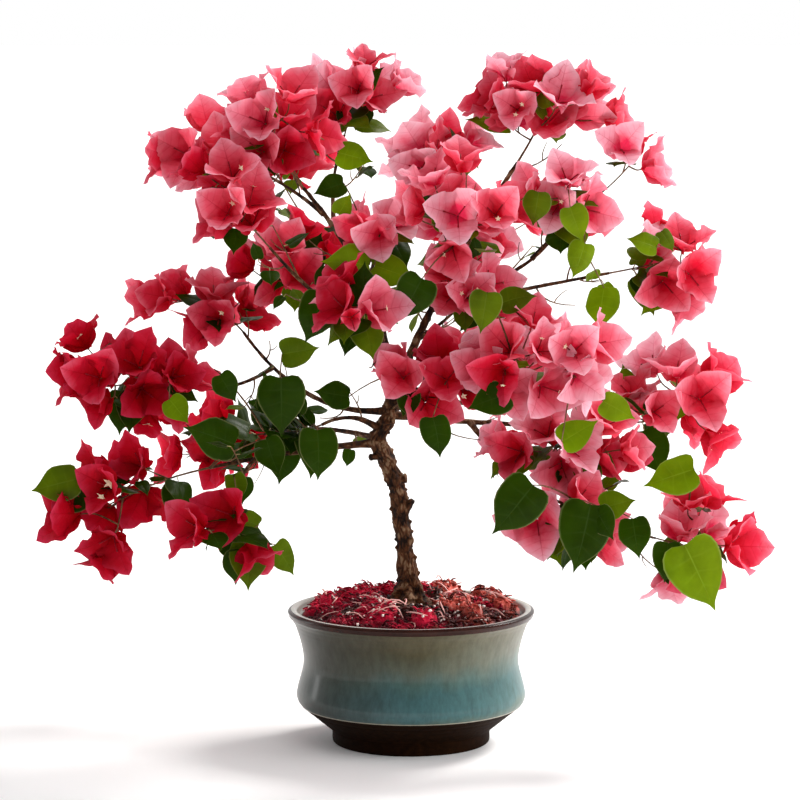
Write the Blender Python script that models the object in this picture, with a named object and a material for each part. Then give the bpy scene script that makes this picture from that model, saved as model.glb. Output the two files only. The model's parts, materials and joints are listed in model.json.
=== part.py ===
"""A bougainvillea trained as a small tree, in a round glazed pot.

The pot stands on the flat underside of its foot, with the origin at the middle of that face and +Z up.
The root ball fills the pot, the trunk stands on it, and each bough is one tapering limb that ends in a mass of
leaves and bracts. Every mass grows by the same seeded rule: a stem goes on from the bough's tip, twigs leave
the stem, a flower head of three bracts stands at each twig's end, and leaves hang from places along the twigs.
"""

import math
import random
from collections import namedtuple

import bmesh
import bpy
from mathutils import Matrix, Vector
from mathutils.bvhtree import BVHTree

# Pot, in metres. Radii are of the outer surface.
RIM_RADIUS = 0.1225
POT_HEIGHT = 0.134
LIP_HEIGHT = 0.006
NECK_RADIUS = 0.1137
WAIST_RADIUS = 0.1067
WAIST_HEIGHT = 0.083
BELLY_RADIUS = 0.1134
BELLY_HEIGHT = 0.046
SHOULDER_RADIUS = 0.100
SHOULDER_HEIGHT = 0.030
FOOT_RADIUS = 0.0785
FOOT_HEIGHT = 0.0125
FOOT_CHAMFER = 0.003
POT_WALL = 0.0095
POT_FLOOR = 0.016
LIP_ROUNDING = 0.002
WALL_RINGS = 9
POT_STEPS = 36
ROUND_FACE_ANGLE = math.radians(40)

# Root ball
SOIL_DEPTH_AT_WALL = 0.008
SOIL_TOP = 0.1385
SOIL_FLAT_RADIUS = 0.040
SOIL_SHOULDER_DROP = 0.004
SOIL_SHOULDER_SHARE = 0.75

# Gap that neighbouring solids keep
GAP = 0.0003

# Trunk: points up its middle line, each with the radius there, from the flat cut on the root ball to the fork
TRUNK_SPINE = (
    (-0.002, 0.000, SOIL_TOP + GAP, 0.0190),
    (-0.002, 0.000, 0.1500, 0.0125),
    (-0.004, 0.001, 0.1700, 0.0098),
    (-0.008, 0.003, 0.2100, 0.0086),
    (-0.013, 0.004, 0.2480, 0.0084),
    (-0.022, 0.002, 0.2780, 0.0085),
    (-0.033, -0.001, 0.3010, 0.0082),
    (-0.025, -0.002, 0.3190, 0.0074),
    (-0.019, 0.000, 0.3380, 0.0068),
)
TRUNK_STEPS = 20
TRUNK_SIDES = 12
FLARE_HEIGHT = 0.030
FLARE_ROOTS = 5
FLARE_SWELL = 0.22

# Pruned stubs on the trunk: share of the trunk's length, way out, length and radius
STUBS = (
    (0.42, (0.55, -0.15, 0.80), 0.021, 0.0032),
    (0.60, (0.90, -0.20, 0.10), 0.0125, 0.0036),
    (0.73, (-0.80, -0.30, -0.05), 0.016, 0.0034),
)
STUB_SIDES = 7

Limb = namedtuple("Limb", "name parent share control tip start_radius tip_radius")

# Boughs: where each leaves its parent, the point that pulls its curve, its tip, and its radii
BOUGHS = (
    Limb("top_left", "trunk", 1.00, (-0.020, 0.005, 0.452), (-0.105, -0.030, 0.553), 0.0046, 0.0020),
    Limb("top_right", "trunk", 1.00, (0.010, 0.000, 0.432), (0.105, 0.030, 0.575), 0.0048, 0.0020),
    Limb("left_spray", "trunk", 0.97, (-0.105, 0.020, 0.320), (-0.170, 0.100, 0.400), 0.0032, 0.0015),
    Limb("right_front", "trunk", 0.99, (0.030, -0.050, 0.378), (0.070, -0.100, 0.368), 0.0029, 0.0016),
    Limb("right_outer", "trunk", 0.95, (0.100, 0.010, 0.312), (0.215, 0.015, 0.317), 0.0033, 0.0016),
    Limb("left_low", "trunk", 0.80, (-0.100, -0.020, 0.298), (-0.195, -0.075, 0.285), 0.0037, 0.0017),
    Limb("left_green", "trunk", 0.86, (-0.055, -0.012, 0.336), (-0.088, -0.020, 0.320), 0.0028, 0.0016),
    Limb("back_low_left", "trunk", 0.82, (-0.090, 0.070, 0.312), (-0.150, 0.150, 0.290), 0.0028, 0.0015),
    Limb("back_right", "trunk", 0.97, (0.030, 0.070, 0.345), (0.075, 0.140, 0.362), 0.0030, 0.0016),
    Limb("left_shoulder", "top_left", 0.28, (-0.085, -0.055, 0.435), (-0.135, -0.100, 0.500), 0.0028, 0.0015),
    Limb("left_inner", "top_left", 0.36, (-0.068, 0.050, 0.440), (-0.105, 0.085, 0.458), 0.0022, 0.0014),
    Limb("centre_upper", "top_left", 0.52, (-0.037, -0.030, 0.470), (-0.036, -0.045, 0.492), 0.0021, 0.0014),
    Limb("centre_front", "top_left", 0.15, (-0.030, -0.060, 0.392), (-0.045, -0.115, 0.420), 0.0024, 0.0015),
    Limb("back_left", "top_left", 0.32, (-0.060, 0.095, 0.440), (-0.115, 0.160, 0.520), 0.0024, 0.0014),
    Limb("top_left_high", "top_left", 0.78, (-0.082, 0.015, 0.560), (-0.066, 0.040, 0.602), 0.0020, 0.0013),
    Limb("top_left_far", "top_left", 0.86, (-0.125, -0.010, 0.560), (-0.172, 0.010, 0.578), 0.0018, 0.0013),
    Limb("centre_high", "top_right", 0.62, (0.030, 0.050, 0.520), (0.008, 0.075, 0.556), 0.0021, 0.0013),
    Limb("centre_right", "top_right", 0.50, (0.040, -0.040, 0.470), (0.047, -0.078, 0.508), 0.0021, 0.0014),
    Limb("centre_low", "top_right", 0.26, (0.022, -0.012, 0.412), (0.040, -0.022, 0.430), 0.0021, 0.0014),
    Limb("back_centre", "top_right", 0.34, (0.020, 0.085, 0.420), (0.045, 0.160, 0.470), 0.0024, 0.0014),
    Limb("right_shoulder", "top_right", 0.44, (0.100, -0.020, 0.458), (0.135, -0.040, 0.502), 0.0026, 0.0015),
    Limb("right_far", "top_right", 0.38, (0.090, 0.030, 0.446), (0.198, 0.050, 0.464), 0.0026, 0.0015),
    Limb("top_right_far", "right_shoulder", 0.80, (0.150, -0.008, 0.518), (0.187, 0.010, 0.546), 0.0017, 0.0012),
    Limb("left_mid", "left_spray", 0.72, (-0.172, 0.050, 0.345), (-0.215, 0.030, 0.350), 0.0018, 0.0013),
    Limb("left_drop", "left_low", 0.72, (-0.165, -0.095, 0.285), (-0.166, -0.130, 0.262), 0.0018, 0.0013),
    Limb("right_low", "right_outer", 0.42, (0.088, -0.028, 0.308), (0.106, -0.052, 0.302), 0.0022, 0.0014),
    Limb("right_drop", "right_outer", 0.34, (0.098, -0.035, 0.272), (0.118, -0.082, 0.246), 0.0022, 0.0013),
    Limb("right_tip", "right_drop", 0.55, (0.165, -0.068, 0.232), (0.238, -0.070, 0.215), 0.0016, 0.0012),
)
BOUGH_STEPS = 6
BOUGH_SIDES = 5
NEAR_LIMB = 0.020

Mass = namedtuple("Mass", "name centre radii heads leaves tone seed")

# Masses: the middle and half-widths of each one's space, its flower heads and leaves, its tone and its seed.
# The bough of the same name bears each, and the trunk bears the one that has no such bough.
MASSES = (
    Mass("left_low", (-0.292, -0.100, 0.252), (0.092, 0.068, 0.085), 6, 4, "crimson", 3800),
    Mass("left_drop", (-0.170, -0.160, 0.230), (0.062, 0.055, 0.060), 2, 5, "crimson", 3001),
    Mass("left_mid", (-0.286, 0.030, 0.366), (0.092, 0.074, 0.064), 6, 3, "crimson", 1802),
    Mass("left_green", (-0.145, -0.025, 0.315), (0.082, 0.060, 0.066), 0, 13, "crimson", 403),
    Mass("left_spray", (-0.210, 0.120, 0.425), (0.090, 0.062, 0.052), 4, 5, "rose", 1204),
    Mass("top_left_far", (-0.220, 0.020, 0.590), (0.064, 0.062, 0.060), 3, 1, "rose", 1805),
    Mass("top_left", (-0.135, -0.085, 0.618), (0.064, 0.062, 0.064), 4, 2, "rose", 2506),
    Mass("top_left_high", (-0.060, 0.050, 0.645), (0.072, 0.066, 0.058), 4, 3, "coral", 2307),
    Mass("left_shoulder", (-0.172, -0.130, 0.545), (0.062, 0.062, 0.062), 3, 1, "rose", 808),
    Mass("left_inner", (-0.130, 0.100, 0.470), (0.068, 0.062, 0.060), 4, 3, "rose", 1509),
    Mass("centre_upper", (-0.030, -0.080, 0.520), (0.058, 0.058, 0.052), 2, 4, "coral", 3610),
    Mass("centre_front", (-0.050, -0.170, 0.450), (0.058, 0.058, 0.054), 2, 4, "rose", 2711),
    Mass("centre_high", (0.020, 0.080, 0.592), (0.064, 0.060, 0.056), 3, 1, "coral", 812),
    Mass("centre_right", (0.050, -0.120, 0.540), (0.068, 0.066, 0.060), 4, 1, "coral", 2613),
    Mass("centre_low", (0.055, -0.045, 0.458), (0.066, 0.058, 0.058), 2, 4, "coral", 1014),
    Mass("heart", (0.020, -0.100, 0.375), (0.062, 0.058, 0.060), 3, 6, "rose", 1715),
    Mass("top_right", (0.135, 0.050, 0.630), (0.092, 0.066, 0.060), 6, 2, "coral", 1716),
    Mass("top_right_far", (0.225, 0.020, 0.585), (0.058, 0.056, 0.054), 2, 1, "coral", 1117),
    Mass("right_shoulder", (0.150, -0.060, 0.545), (0.072, 0.060, 0.064), 4, 5, "coral", 2718),
    Mass("right_far", (0.255, 0.060, 0.475), (0.070, 0.064, 0.072), 4, 4, "coral", 2619),
    Mass("right_front", (0.115, -0.150, 0.395), (0.090, 0.066, 0.066), 6, 3, "coral", 1920),
    Mass("right_outer", (0.282, 0.020, 0.340), (0.102, 0.076, 0.086), 7, 3, "coral", 1621),
    Mass("right_low", (0.150, -0.065, 0.300), (0.096, 0.058, 0.058), 5, 5, "coral", 1422),
    Mass("right_drop", (0.150, -0.100, 0.230), (0.088, 0.056, 0.056), 2, 8, "coral", 923),
    Mass("right_tip", (0.290, -0.070, 0.202), (0.076, 0.066, 0.078), 4, 4, "coral", 1424),
    Mass("back_left", (-0.145, 0.200, 0.570), (0.078, 0.068, 0.068), 4, 5, "rose", 2825),
    Mass("back_low_left", (-0.195, 0.200, 0.280), (0.086, 0.070, 0.064), 4, 5, "crimson", 2126),
    Mass("back_centre", (0.060, 0.220, 0.500), (0.086, 0.070, 0.072), 5, 5, "coral", 2527),
    Mass("back_right", (0.105, 0.200, 0.375), (0.088, 0.070, 0.070), 4, 5, "coral", 628),
)

# Flower heads: three bracts round an axis. Shares are of a bract's length.
BRACTS_IN_HEAD = 3
BRACT_LENGTH = (0.046, 0.057)
BRACT_WIDTH_SHARE = 0.94
BRACT_WIDEST_AT = 0.54
BRACT_OPENING = (math.radians(37), math.radians(54))
BRACT_THICKNESS = 0.0012
BRACT_CUP = 0.03
HEAD_BASE_SHARE = 0.35

# Leaves, shares of a leaf's length too
LEAF_LENGTH = (0.044, 0.068)
LEAF_WIDTH_SHARE = 0.76
LEAF_WIDEST_AT = 0.38
LEAF_THICKNESS = 0.0012
LEAF_CUP = -0.05
LEAF_PLACES = (0.10, 0.85)
LEAF_DROOP = (0.1, 0.9)
LEAF_FORWARD = 0.3
LEAF_OUTWARD = 0.6
ROOT_OFFSET = 0.0003

# Stems and twigs. A twig pays for its length, and less for one that goes on the way its parent points.
STEM_POINTS = 4
STEM_BEND = 0.5
TRUNK_STEM_SHARE = 0.97
TRUNK_STEM_RADIUS = 0.0016
TWIG_POINTS = 3
TWIG_SIDES = 3
TWIG_PLACES = (0.25, 0.40, 0.55, 0.70, 0.85)
TWIG_SPACING = 0.005
TWIG_BASE_RADIUS = 0.0011
TWIG_TIP_RADIUS = 0.0019
TWIG_BEND = 0.4
LENGTH_COST = 1.6
AHEAD_CREDIT = 0.6

# Growth: how heads are spread and which way they look
TRIES = 200
GOOD_ENOUGH = 3
HEAD_MARGIN = 0.018
HEAD_SPACING = 0.052
CLEARANCE = 0.0008
CROWN_HEART = Vector((-0.010, 0.020, 0.380))
OUT_OF_CROWN = 0.55
OUT_OF_MASS = 0.80
UPWARD = 0.45
SCATTER = 0.45
LIGHT_WAY = Vector((0, -0.35, 0))
GOLDEN_ANGLE = math.radians(137.5)
UP = Vector((0, 0, 1))

# Colours
GLAZE = (0.33, 0.44, 0.42)
SOIL = (0.20, 0.035, 0.030)
BARK = (0.16, 0.085, 0.050)
LEAF_GREEN = (0.075, 0.185, 0.035)
TONES = {
    "crimson": (0.58, 0.018, 0.055),
    "rose": (0.68, 0.045, 0.095),
    "coral": (0.76, 0.105, 0.150),
}

Twig = namedtuple("Twig", "points radii")
Blade = namedtuple("Blade", "kind base along normal length")


def clear_scene():
    for old in list(bpy.data.objects):
        bpy.data.objects.remove(old)


def material(name, colour, roughness, metallic=0.0):
    made = bpy.data.materials.get(name)
    if made:
        return made
    made = bpy.data.materials.new(name)
    made.use_nodes = True
    shader = made.node_tree.nodes["Principled BSDF"]
    shader.inputs["Base Color"].default_value = (*colour, 1.0)
    shader.inputs["Roughness"].default_value = roughness
    shader.inputs["Metallic"].default_value = metallic
    return made


def add_object(name, points, faces, finish):
    mesh = bpy.data.meshes.new(name)
    mesh.from_pydata([tuple(p) for p in points], [], faces)
    mesh.materials.append(finish)
    made = bpy.data.objects.new(name, mesh)
    bpy.context.scene.collection.objects.link(made)
    return made


def lathe(profile, steps):
    """Points and faces of a turned solid, whose profile runs from the axis, out and up, and back to the axis."""
    points = [Vector((0, 0, profile[0][1]))]
    for radius, height in profile[1:-1]:
        for step in range(steps):
            angle = math.tau * step / steps
            points.append(Vector((radius * math.cos(angle), radius * math.sin(angle), height)))
    points.append(Vector((0, 0, profile[-1][1])))
    rings = len(profile) - 2
    last = len(points) - 1
    faces = []
    for step in range(steps):
        after = (step + 1) % steps
        faces.append((0, 1 + after, 1 + step))
        for ring in range(rings - 1):
            low, high = 1 + ring * steps, 1 + (ring + 1) * steps
            faces.append((low + step, low + after, high + after, high + step))
        top = 1 + (rings - 1) * steps
        faces.append((top + step, top + after, last))
    return points, faces


def smooth_through(knots, steps):
    """Points along a Catmull-Rom curve through the knots, each a tuple of numbers."""
    made = []
    spans = len(knots) - 1
    for step in range(steps + 1):
        place = step * spans / steps
        i = min(int(place), spans - 1)
        around = [knots[min(max(k, 0), spans)] for k in (i - 1, i, i + 1, i + 2)]
        made.append(tuple(between(*values, place - i) for values in zip(*around)))
    return made


def between(before, start, end, after, t):
    """The value at t of the way from start to end, on a cubic that also leans to what is before and after."""
    slope, end_slope = (end - before) / 2, (after - start) / 2
    rise = end - start
    return start + t * (slope + t * (3 * rise - 2 * slope - end_slope + t * (slope + end_slope - 2 * rise)))


def pot_outside():
    """The pot's outer wall from its foot to under its lip."""
    foot = [(0, 0), (FOOT_RADIUS - FOOT_CHAMFER, 0), (FOOT_RADIUS, FOOT_CHAMFER), (FOOT_RADIUS, FOOT_HEIGHT)]
    wall = smooth_through(
        (
            (SHOULDER_RADIUS, SHOULDER_HEIGHT),
            (BELLY_RADIUS, BELLY_HEIGHT),
            (WAIST_RADIUS, WAIST_HEIGHT),
            (NECK_RADIUS, POT_HEIGHT - 3 * LIP_HEIGHT),
            (RIM_RADIUS - LIP_ROUNDING / 2, POT_HEIGHT - LIP_HEIGHT),
        ),
        WALL_RINGS,
    )
    return foot, wall


def pot_inside(wall):
    """The pot's inner wall, one wall's thickness in from the outer one, upwards."""
    return [(radius - POT_WALL, height) for radius, height in wall[2:-1]]


def make_pot():
    foot, wall = pot_outside()
    lip = [
        (RIM_RADIUS, POT_HEIGHT - LIP_HEIGHT / 2),
        (RIM_RADIUS - LIP_ROUNDING, POT_HEIGHT),
        (RIM_RADIUS - POT_WALL + LIP_ROUNDING, POT_HEIGHT),
        (RIM_RADIUS - POT_WALL, POT_HEIGHT - LIP_HEIGHT / 2),
    ]
    floor = [(FOOT_RADIUS, POT_FLOOR), (0, POT_FLOOR)]
    points, faces = lathe(foot + wall + lip + pot_inside(wall)[::-1] + floor, POT_STEPS)
    pot = add_object("pot", points, faces, material("glaze", GLAZE, 0.25))
    pot.data.shade_smooth()
    pot.data.set_sharp_from_angle(angle=ROUND_FACE_ANGLE)


def make_root_ball():
    """Soil and mulch: it fills the pot to below the lip, and rises to a flat place under the trunk."""
    _, wall = pot_outside()
    level = POT_HEIGHT - SOIL_DEPTH_AT_WALL
    side = [(radius - GAP, height) for radius, height in pot_inside(wall) if height < level]
    bottom = [(0, POT_FLOOR + GAP), (FOOT_RADIUS - GAP, POT_FLOOR + GAP)]
    edge_radius = side[-1][0]
    top = [
        (edge_radius - GAP, level),
        (edge_radius * SOIL_SHOULDER_SHARE, SOIL_TOP - SOIL_SHOULDER_DROP),
        (SOIL_FLAT_RADIUS, SOIL_TOP),
        (0, SOIL_TOP),
    ]
    points, faces = lathe(bottom + side + top, POT_STEPS)
    soil = add_object("root_ball", points, faces, material("soil", SOIL, 0.9))
    soil.data.shade_smooth()


def curve_points(start, control, tip, steps):
    """Points along a curve from start to tip that the control point pulls aside."""
    start, control, tip = Vector(start), Vector(control), Vector(tip)
    shares = [step / steps for step in range(steps + 1)]
    return [(1 - t) ** 2 * start + 2 * t * (1 - t) * control + t**2 * tip for t in shares]


def place_along(path, radii, share):
    """The point, direction and radius at a share of a path's length."""
    lengths = [(b - a).length for a, b in zip(path, path[1:])]
    left = share * sum(lengths)
    for i, length in enumerate(lengths):
        if left <= length or i == len(lengths) - 1:
            t = min(left / length, 1.0)
            ahead = path[i + 1] - path[i]
            return path[i] + t * ahead, ahead.normalized(), radii[i] + t * (radii[i + 1] - radii[i])
        left -= length


def turned_frames(path, first_way=None):
    """A pair of directions across the path at each point, carried along it with no twist."""
    ways = [(b - a).normalized() for a, b in zip(path, path[1:])]
    ways = [first_way or ways[0]] + [(a + b).normalized() for a, b in zip(ways, ways[1:])] + [ways[-1]]
    across = ways[0].orthogonal().normalized()
    frames = []
    for way in ways:
        across = (across - across.dot(way) * way).normalized()
        frames.append((across, way.cross(across)))
    return frames


def tube(path, radii, sides, first_way=None, swell=None):
    """Points and faces of a closed tube along the path. swell(height, angle) scales its radius."""
    frames = turned_frames(path, first_way)
    points = []
    for centre, radius, (across, other) in zip(path, radii, frames):
        for side in range(sides):
            angle = math.tau * side / sides
            reach = radius * (swell(centre.z, angle) if swell else 1.0)
            points.append(centre + reach * (math.cos(angle) * across + math.sin(angle) * other))
    faces = [tuple(reversed(range(sides)))]
    for ring in range(len(path) - 1):
        low, high = ring * sides, (ring + 1) * sides
        for side in range(sides):
            after = (side + 1) % sides
            faces.append((low + side, low + after, high + after, high + side))
    faces.append(tuple(range((len(path) - 1) * sides, len(path) * sides)))
    return points, faces


def root_swell(height, angle):
    """The trunk's foot swells over its main roots."""
    above = (height - SOIL_TOP) / FLARE_HEIGHT
    return 1 + FLARE_SWELL * max(0.0, 1 - above) * math.cos(FLARE_ROOTS * angle)


def trunk_path():
    spine = smooth_through(TRUNK_SPINE, TRUNK_STEPS)
    return [Vector(p[:3]) for p in spine], [p[3] for p in spine]


def limb_paths():
    """The middle line and radii of the trunk and of each bough, by name."""
    paths = {"trunk": trunk_path()}
    for limb in BOUGHS:
        start, _, _ = place_along(*paths[limb.parent], limb.share)
        path = curve_points(start, limb.control, limb.tip, BOUGH_STEPS)
        narrowing = [step / BOUGH_STEPS for step in range(BOUGH_STEPS + 1)]
        radii = [limb.start_radius + t * (limb.tip_radius - limb.start_radius) for t in narrowing]
        paths[limb.name] = (path, radii)
    return paths


def boolean(target, others, operation):
    """Applies one Boolean with a collection of objects, and removes them."""
    group = bpy.data.collections.new("joined")
    for other in others:
        group.objects.link(other)
    modifier = target.modifiers.new("Boolean", "BOOLEAN")
    modifier.operation = operation
    modifier.operand_type = "COLLECTION"
    modifier.collection = group
    modifier.solver = "MANIFOLD"
    modifier.material_mode = "TRANSFER"
    bpy.context.view_layer.update()
    evaluated = target.evaluated_get(bpy.context.evaluated_depsgraph_get())
    result = bpy.data.meshes.new_from_object(evaluated)
    target.modifiers.clear()
    target.data = result
    result.name = target.name
    for other in others:
        bpy.data.objects.remove(other)
    bpy.data.collections.remove(group)


def keep_largest(target):
    """Drops every loose scrap, so that one body is left."""
    shape = bmesh.new()
    shape.from_mesh(target.data)
    unseen = set(shape.verts)
    bodies = []
    while unseen:
        body, edge = set(), [unseen.pop()]
        while edge:
            point = edge.pop()
            body.add(point)
            for line in point.link_edges:
                other = line.other_vert(point)
                if other in unseen:
                    unseen.remove(other)
                    edge.append(other)
        bodies.append(body)
    largest = max(bodies, key=len)
    scraps = [point for body in bodies if body is not largest for point in body]
    bmesh.ops.delete(shape, geom=scraps, context="VERTS")
    shape.to_mesh(target.data)
    shape.free()


def make_trunk(paths, bark):
    path, radii = paths["trunk"]
    points, faces = tube(path, radii, TRUNK_SIDES, first_way=UP, swell=root_swell)
    trunk = add_object("trunk", points, faces, bark)
    stubs = []
    for share, way, length, radius in STUBS:
        start, _, _ = place_along(path, radii, share)
        out = Vector(way).normalized()
        stub_path = [start, start + length / 2 * out, start + length * out]
        stubs.append(add_object("stub", *tube(stub_path, [radius] * len(stub_path), STUB_SIDES), bark))
    boolean(trunk, stubs, "UNION")
    keep_largest(trunk)
    trunk.data.shade_smooth()


def cutter(name, paths, finish):
    """A limb's own shape made larger all round by the gap that its neighbours keep."""
    path, radii = paths[name]
    longer = path[:-1] + [path[-1] + GAP * (path[-1] - path[-2]).normalized()]
    wider = [radius + GAP for radius in radii]
    if name == "trunk":
        return add_object("cutter", *tube(longer, wider, TRUNK_SIDES, UP, root_swell), finish)
    return add_object("cutter", *tube(longer, wider, BOUGH_SIDES), finish)


def nearest_gap(path, other):
    return min((a - b).length for a in path for b in other)


def make_boughs(paths, bark):
    """Each bough is cut clear of the limbs made before it."""
    made = ["trunk"]
    for limb in BOUGHS:
        path, radii = paths[limb.name]
        bough = add_object("bough_" + limb.name, *tube(path, radii, BOUGH_SIDES), bark)
        near = [name for name in made if nearest_gap(path, paths[name][0]) < NEAR_LIMB]
        boolean(bough, [cutter(name, paths, bark) for name in near], "DIFFERENCE")
        keep_largest(bough)
        bough.data.shade_smooth()
        made.append(limb.name)


def blade_points(blade, thicker=0.0):
    """The points and triangles of a leaf or bract: a kite-shaped rim round one point on each face."""
    width_share, widest, thickness, cup = {
        "bract": (BRACT_WIDTH_SHARE, BRACT_WIDEST_AT, BRACT_THICKNESS, BRACT_CUP),
        "leaf": (LEAF_WIDTH_SHARE, LEAF_WIDEST_AT, LEAF_THICKNESS, LEAF_CUP),
    }[blade.kind]
    half_width = blade.length * width_share / 2
    lift = blade.length * cup
    half = thickness / 2 + thicker
    across = blade.normal.cross(blade.along)
    middle = blade.base + blade.length * widest * blade.along
    points = [
        blade.base,
        middle - half_width * across + lift * blade.normal,
        blade.base + blade.length * blade.along + lift * blade.normal,
        middle + half_width * across + lift * blade.normal,
        middle + half * blade.normal,
        middle - half * blade.normal,
    ]
    faces = []
    for i in range(4):
        after = (i + 1) % 4
        faces += [(i, after, 4), (after, i, 5)]
    return points, faces


def inside(points, mass):
    """Whether all the points lie in the mass's own space."""
    return all(
        sum(((p - c) / r) ** 2 for p, c, r in zip(point, mass.centre, mass.radii)) <= 1.0 for point in points
    )


def touches(piece, *surfaces):
    own = BVHTree.FromPolygons(*piece)
    return any(surface is not None and own.overlap(surface) for surface in surfaces)


def limb_surface(paths):
    """One search tree for the trunk and all the boughs, a little thicker than they are."""
    shapes = []
    for path, radii in paths.values():
        shapes.append(tube(path, [radius + CLEARANCE for radius in radii], 2 * BOUGH_SIDES))
    return surface_of(shapes)


def stem_of(mass, paths):
    """The stem that goes on from the bough's tip, or leaves the trunk's side, to the middle of the mass."""
    centre = Vector(mass.centre)
    if mass.name in paths:
        path, radii = paths[mass.name]
        way, size = (path[-1] - path[-2]).normalized(), radii[-1]
        root = path[-1] + GAP * way
    else:
        root, _, _ = place_along(*paths["trunk"], TRUNK_STEM_SHARE)
        way, size = (centre - root).normalized(), TRUNK_STEM_RADIUS
    bend = root + STEM_BEND * (centre - root).length * way
    points = curve_points(root, bend, centre, STEM_POINTS - 1)
    shares = [i / (STEM_POINTS - 1) for i in range(STEM_POINTS)]
    return Twig(points, [size + share * (TWIG_BASE_RADIUS - size) for share in shares])


def head_axis(centre, mass, rng):
    """Flower heads look outward and up, a little towards the light in front."""
    outward = (centre - CROWN_HEART).normalized()
    local = (centre - Vector(mass.centre)) / max(mass.radii)
    jitter = Vector([rng.uniform(-1, 1) for _ in range(3)])
    pull = OUT_OF_CROWN * outward + OUT_OF_MASS * local + UPWARD * UP + LIGHT_WAY
    return (pull + SCATTER * jitter).normalized()


def head_blades(base, twig, length, opening):
    """The three bracts of a head, round its twig's end, each before one side of the twig."""
    axis = (twig.points[-1] - twig.points[-2]).normalized()
    across = turned_frames(twig.points)[-1][0]
    blades = []
    for i in range(BRACTS_IN_HEAD):
        out = Matrix.Rotation(math.tau * (i + 0.5) / BRACTS_IN_HEAD, 3, axis) @ across
        along = (math.cos(opening) * axis + math.sin(opening) * out).normalized()
        normal = (math.sin(opening) * axis - math.cos(opening) * out).normalized()
        blades.append(Blade("bract", base + ROOT_OFFSET * out, along, normal, length))
    return blades


def twig_to(base, axis, twigs):
    """A twig from the handiest free place on the stem or an earlier twig to just past the head's roots."""
    taken = [twig.points[0] for twig in twigs[1:]]
    best = None
    for twig in twigs:
        for share in TWIG_PLACES:
            node, way, _ = place_along(twig.points, twig.radii, share)
            if any((node - other).length < TWIG_SPACING for other in taken):
                continue
            ahead = base - node
            cost = ahead.length * (LENGTH_COST - AHEAD_CREDIT * way.dot(ahead.normalized()))
            if best is None or cost < best[0]:
                best = (cost, node, ahead.length)
    _, node, reach = best
    end = base + 2 * ROOT_OFFSET * axis
    points = curve_points(node, end - TWIG_BEND * reach * axis, end, TWIG_POINTS - 1)
    shares = [i / (TWIG_POINTS - 1) for i in range(TWIG_POINTS)]
    return Twig(points, [TWIG_BASE_RADIUS + share * (TWIG_TIP_RADIUS - TWIG_BASE_RADIUS) for share in shares])


def grow_head(mass, twigs, heads, blocked, wood, rng):
    """A flower head that fits close to the others, as its middle, twig, bracts and their shapes."""
    centre = Vector(mass.centre)
    found = []
    for _ in range(TRIES):
        length = rng.uniform(*BRACT_LENGTH)
        ball = Vector([rng.gauss(0, 1) for _ in range(3)]).normalized() * rng.random() ** (1 / 3)
        middle = centre + Vector([b * (r - HEAD_MARGIN) for b, r in zip(ball, mass.radii)])
        axis = head_axis(middle, mass, rng)
        opening = rng.uniform(*BRACT_OPENING)
        base = middle - HEAD_BASE_SHARE * length * axis
        twig = twig_to(base, axis, twigs)
        bracts = head_blades(base, twig, length, opening)
        shapes = [blade_points(blade, CLEARANCE) for blade in bracts]
        if not all(inside(points, mass) for points, _ in shapes):
            continue
        if touches(as_one(shapes), *blocked, wood):
            continue
        if touches(twig_shape(twig, CLEARANCE), *blocked):
            continue
        room = min([(middle - other).length for other in heads], default=HEAD_SPACING)
        found.append((room, middle, twig, bracts, shapes))
        if len(found) == GOOD_ENOUGH:
            break
    return min(found, key=lambda kind: abs(kind[0] - HEAD_SPACING), default=None)


def grow_leaf(mass, twigs, turn, blocked, rng):
    """A leaf that fits, rooted in a twig, with its shape."""
    centre = Vector(mass.centre)
    for _ in range(TRIES):
        turn += GOLDEN_ANGLE
        twig = rng.choice(twigs)
        share, length = rng.uniform(*LEAF_PLACES), rng.uniform(*LEAF_LENGTH)
        start, way, _ = place_along(twig.points, twig.radii, share)
        side = Matrix.Rotation(turn, 3, way) @ way.orthogonal().normalized()
        hang = (side + LEAF_FORWARD * way - rng.uniform(*LEAF_DROOP) * UP).normalized()
        face = (UP + LEAF_OUTWARD * (start - centre) / max(mass.radii) + LIGHT_WAY).normalized()
        normal = (face - face.dot(hang) * hang).normalized()
        leaf = Blade("leaf", start - ROOT_OFFSET * hang, hang, normal, length)
        shape = blade_points(leaf, CLEARANCE)
        if not inside(shape[0], mass) or touches(shape, *blocked):
            continue
        wood = surface_of([twig_shape(other) for other in twigs if other is not twig])
        if not touches(shape, wood):
            return leaf, shape
    return None


def grow(mass, paths, limbs, others):
    """The twigs and blades of a mass. limbs and others are the surfaces that it keeps clear of."""
    rng = random.Random(mass.seed)
    twigs, blades, shapes, heads = [stem_of(mass, paths)], [], [], []
    for _ in range(mass.heads):
        blocked = (limbs, others, surface_of(shapes))
        wood = surface_of([twig_shape(twig) for twig in twigs])
        found = grow_head(mass, twigs, heads, blocked, wood, rng)
        if found:
            _, middle, twig, bracts, new_shapes = found
            heads.append(middle)
            twigs.append(twig)
            blades += bracts
            shapes += new_shapes
    turn = rng.uniform(0, math.tau)
    for _ in range(mass.leaves):
        found = grow_leaf(mass, twigs, turn, (limbs, others, surface_of(shapes)), rng)
        if found:
            blades.append(found[0])
            shapes.append(found[1])
        turn += GOLDEN_ANGLE
    return twigs, blades


def twig_shape(twig, thicker=0.0):
    return tube(twig.points, [radius + thicker for radius in twig.radii], TWIG_SIDES)


def as_one(shapes):
    """Several shapes as one (points, faces) pair."""
    points, faces = [], []
    for some_points, some_faces in shapes:
        faces += [tuple(i + len(points) for i in face) for face in some_faces]
        points += some_points
    return points, faces


def surface_of(shapes):
    """One search tree for several shapes."""
    return BVHTree.FromPolygons(*as_one(shapes)) if shapes else None


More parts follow.
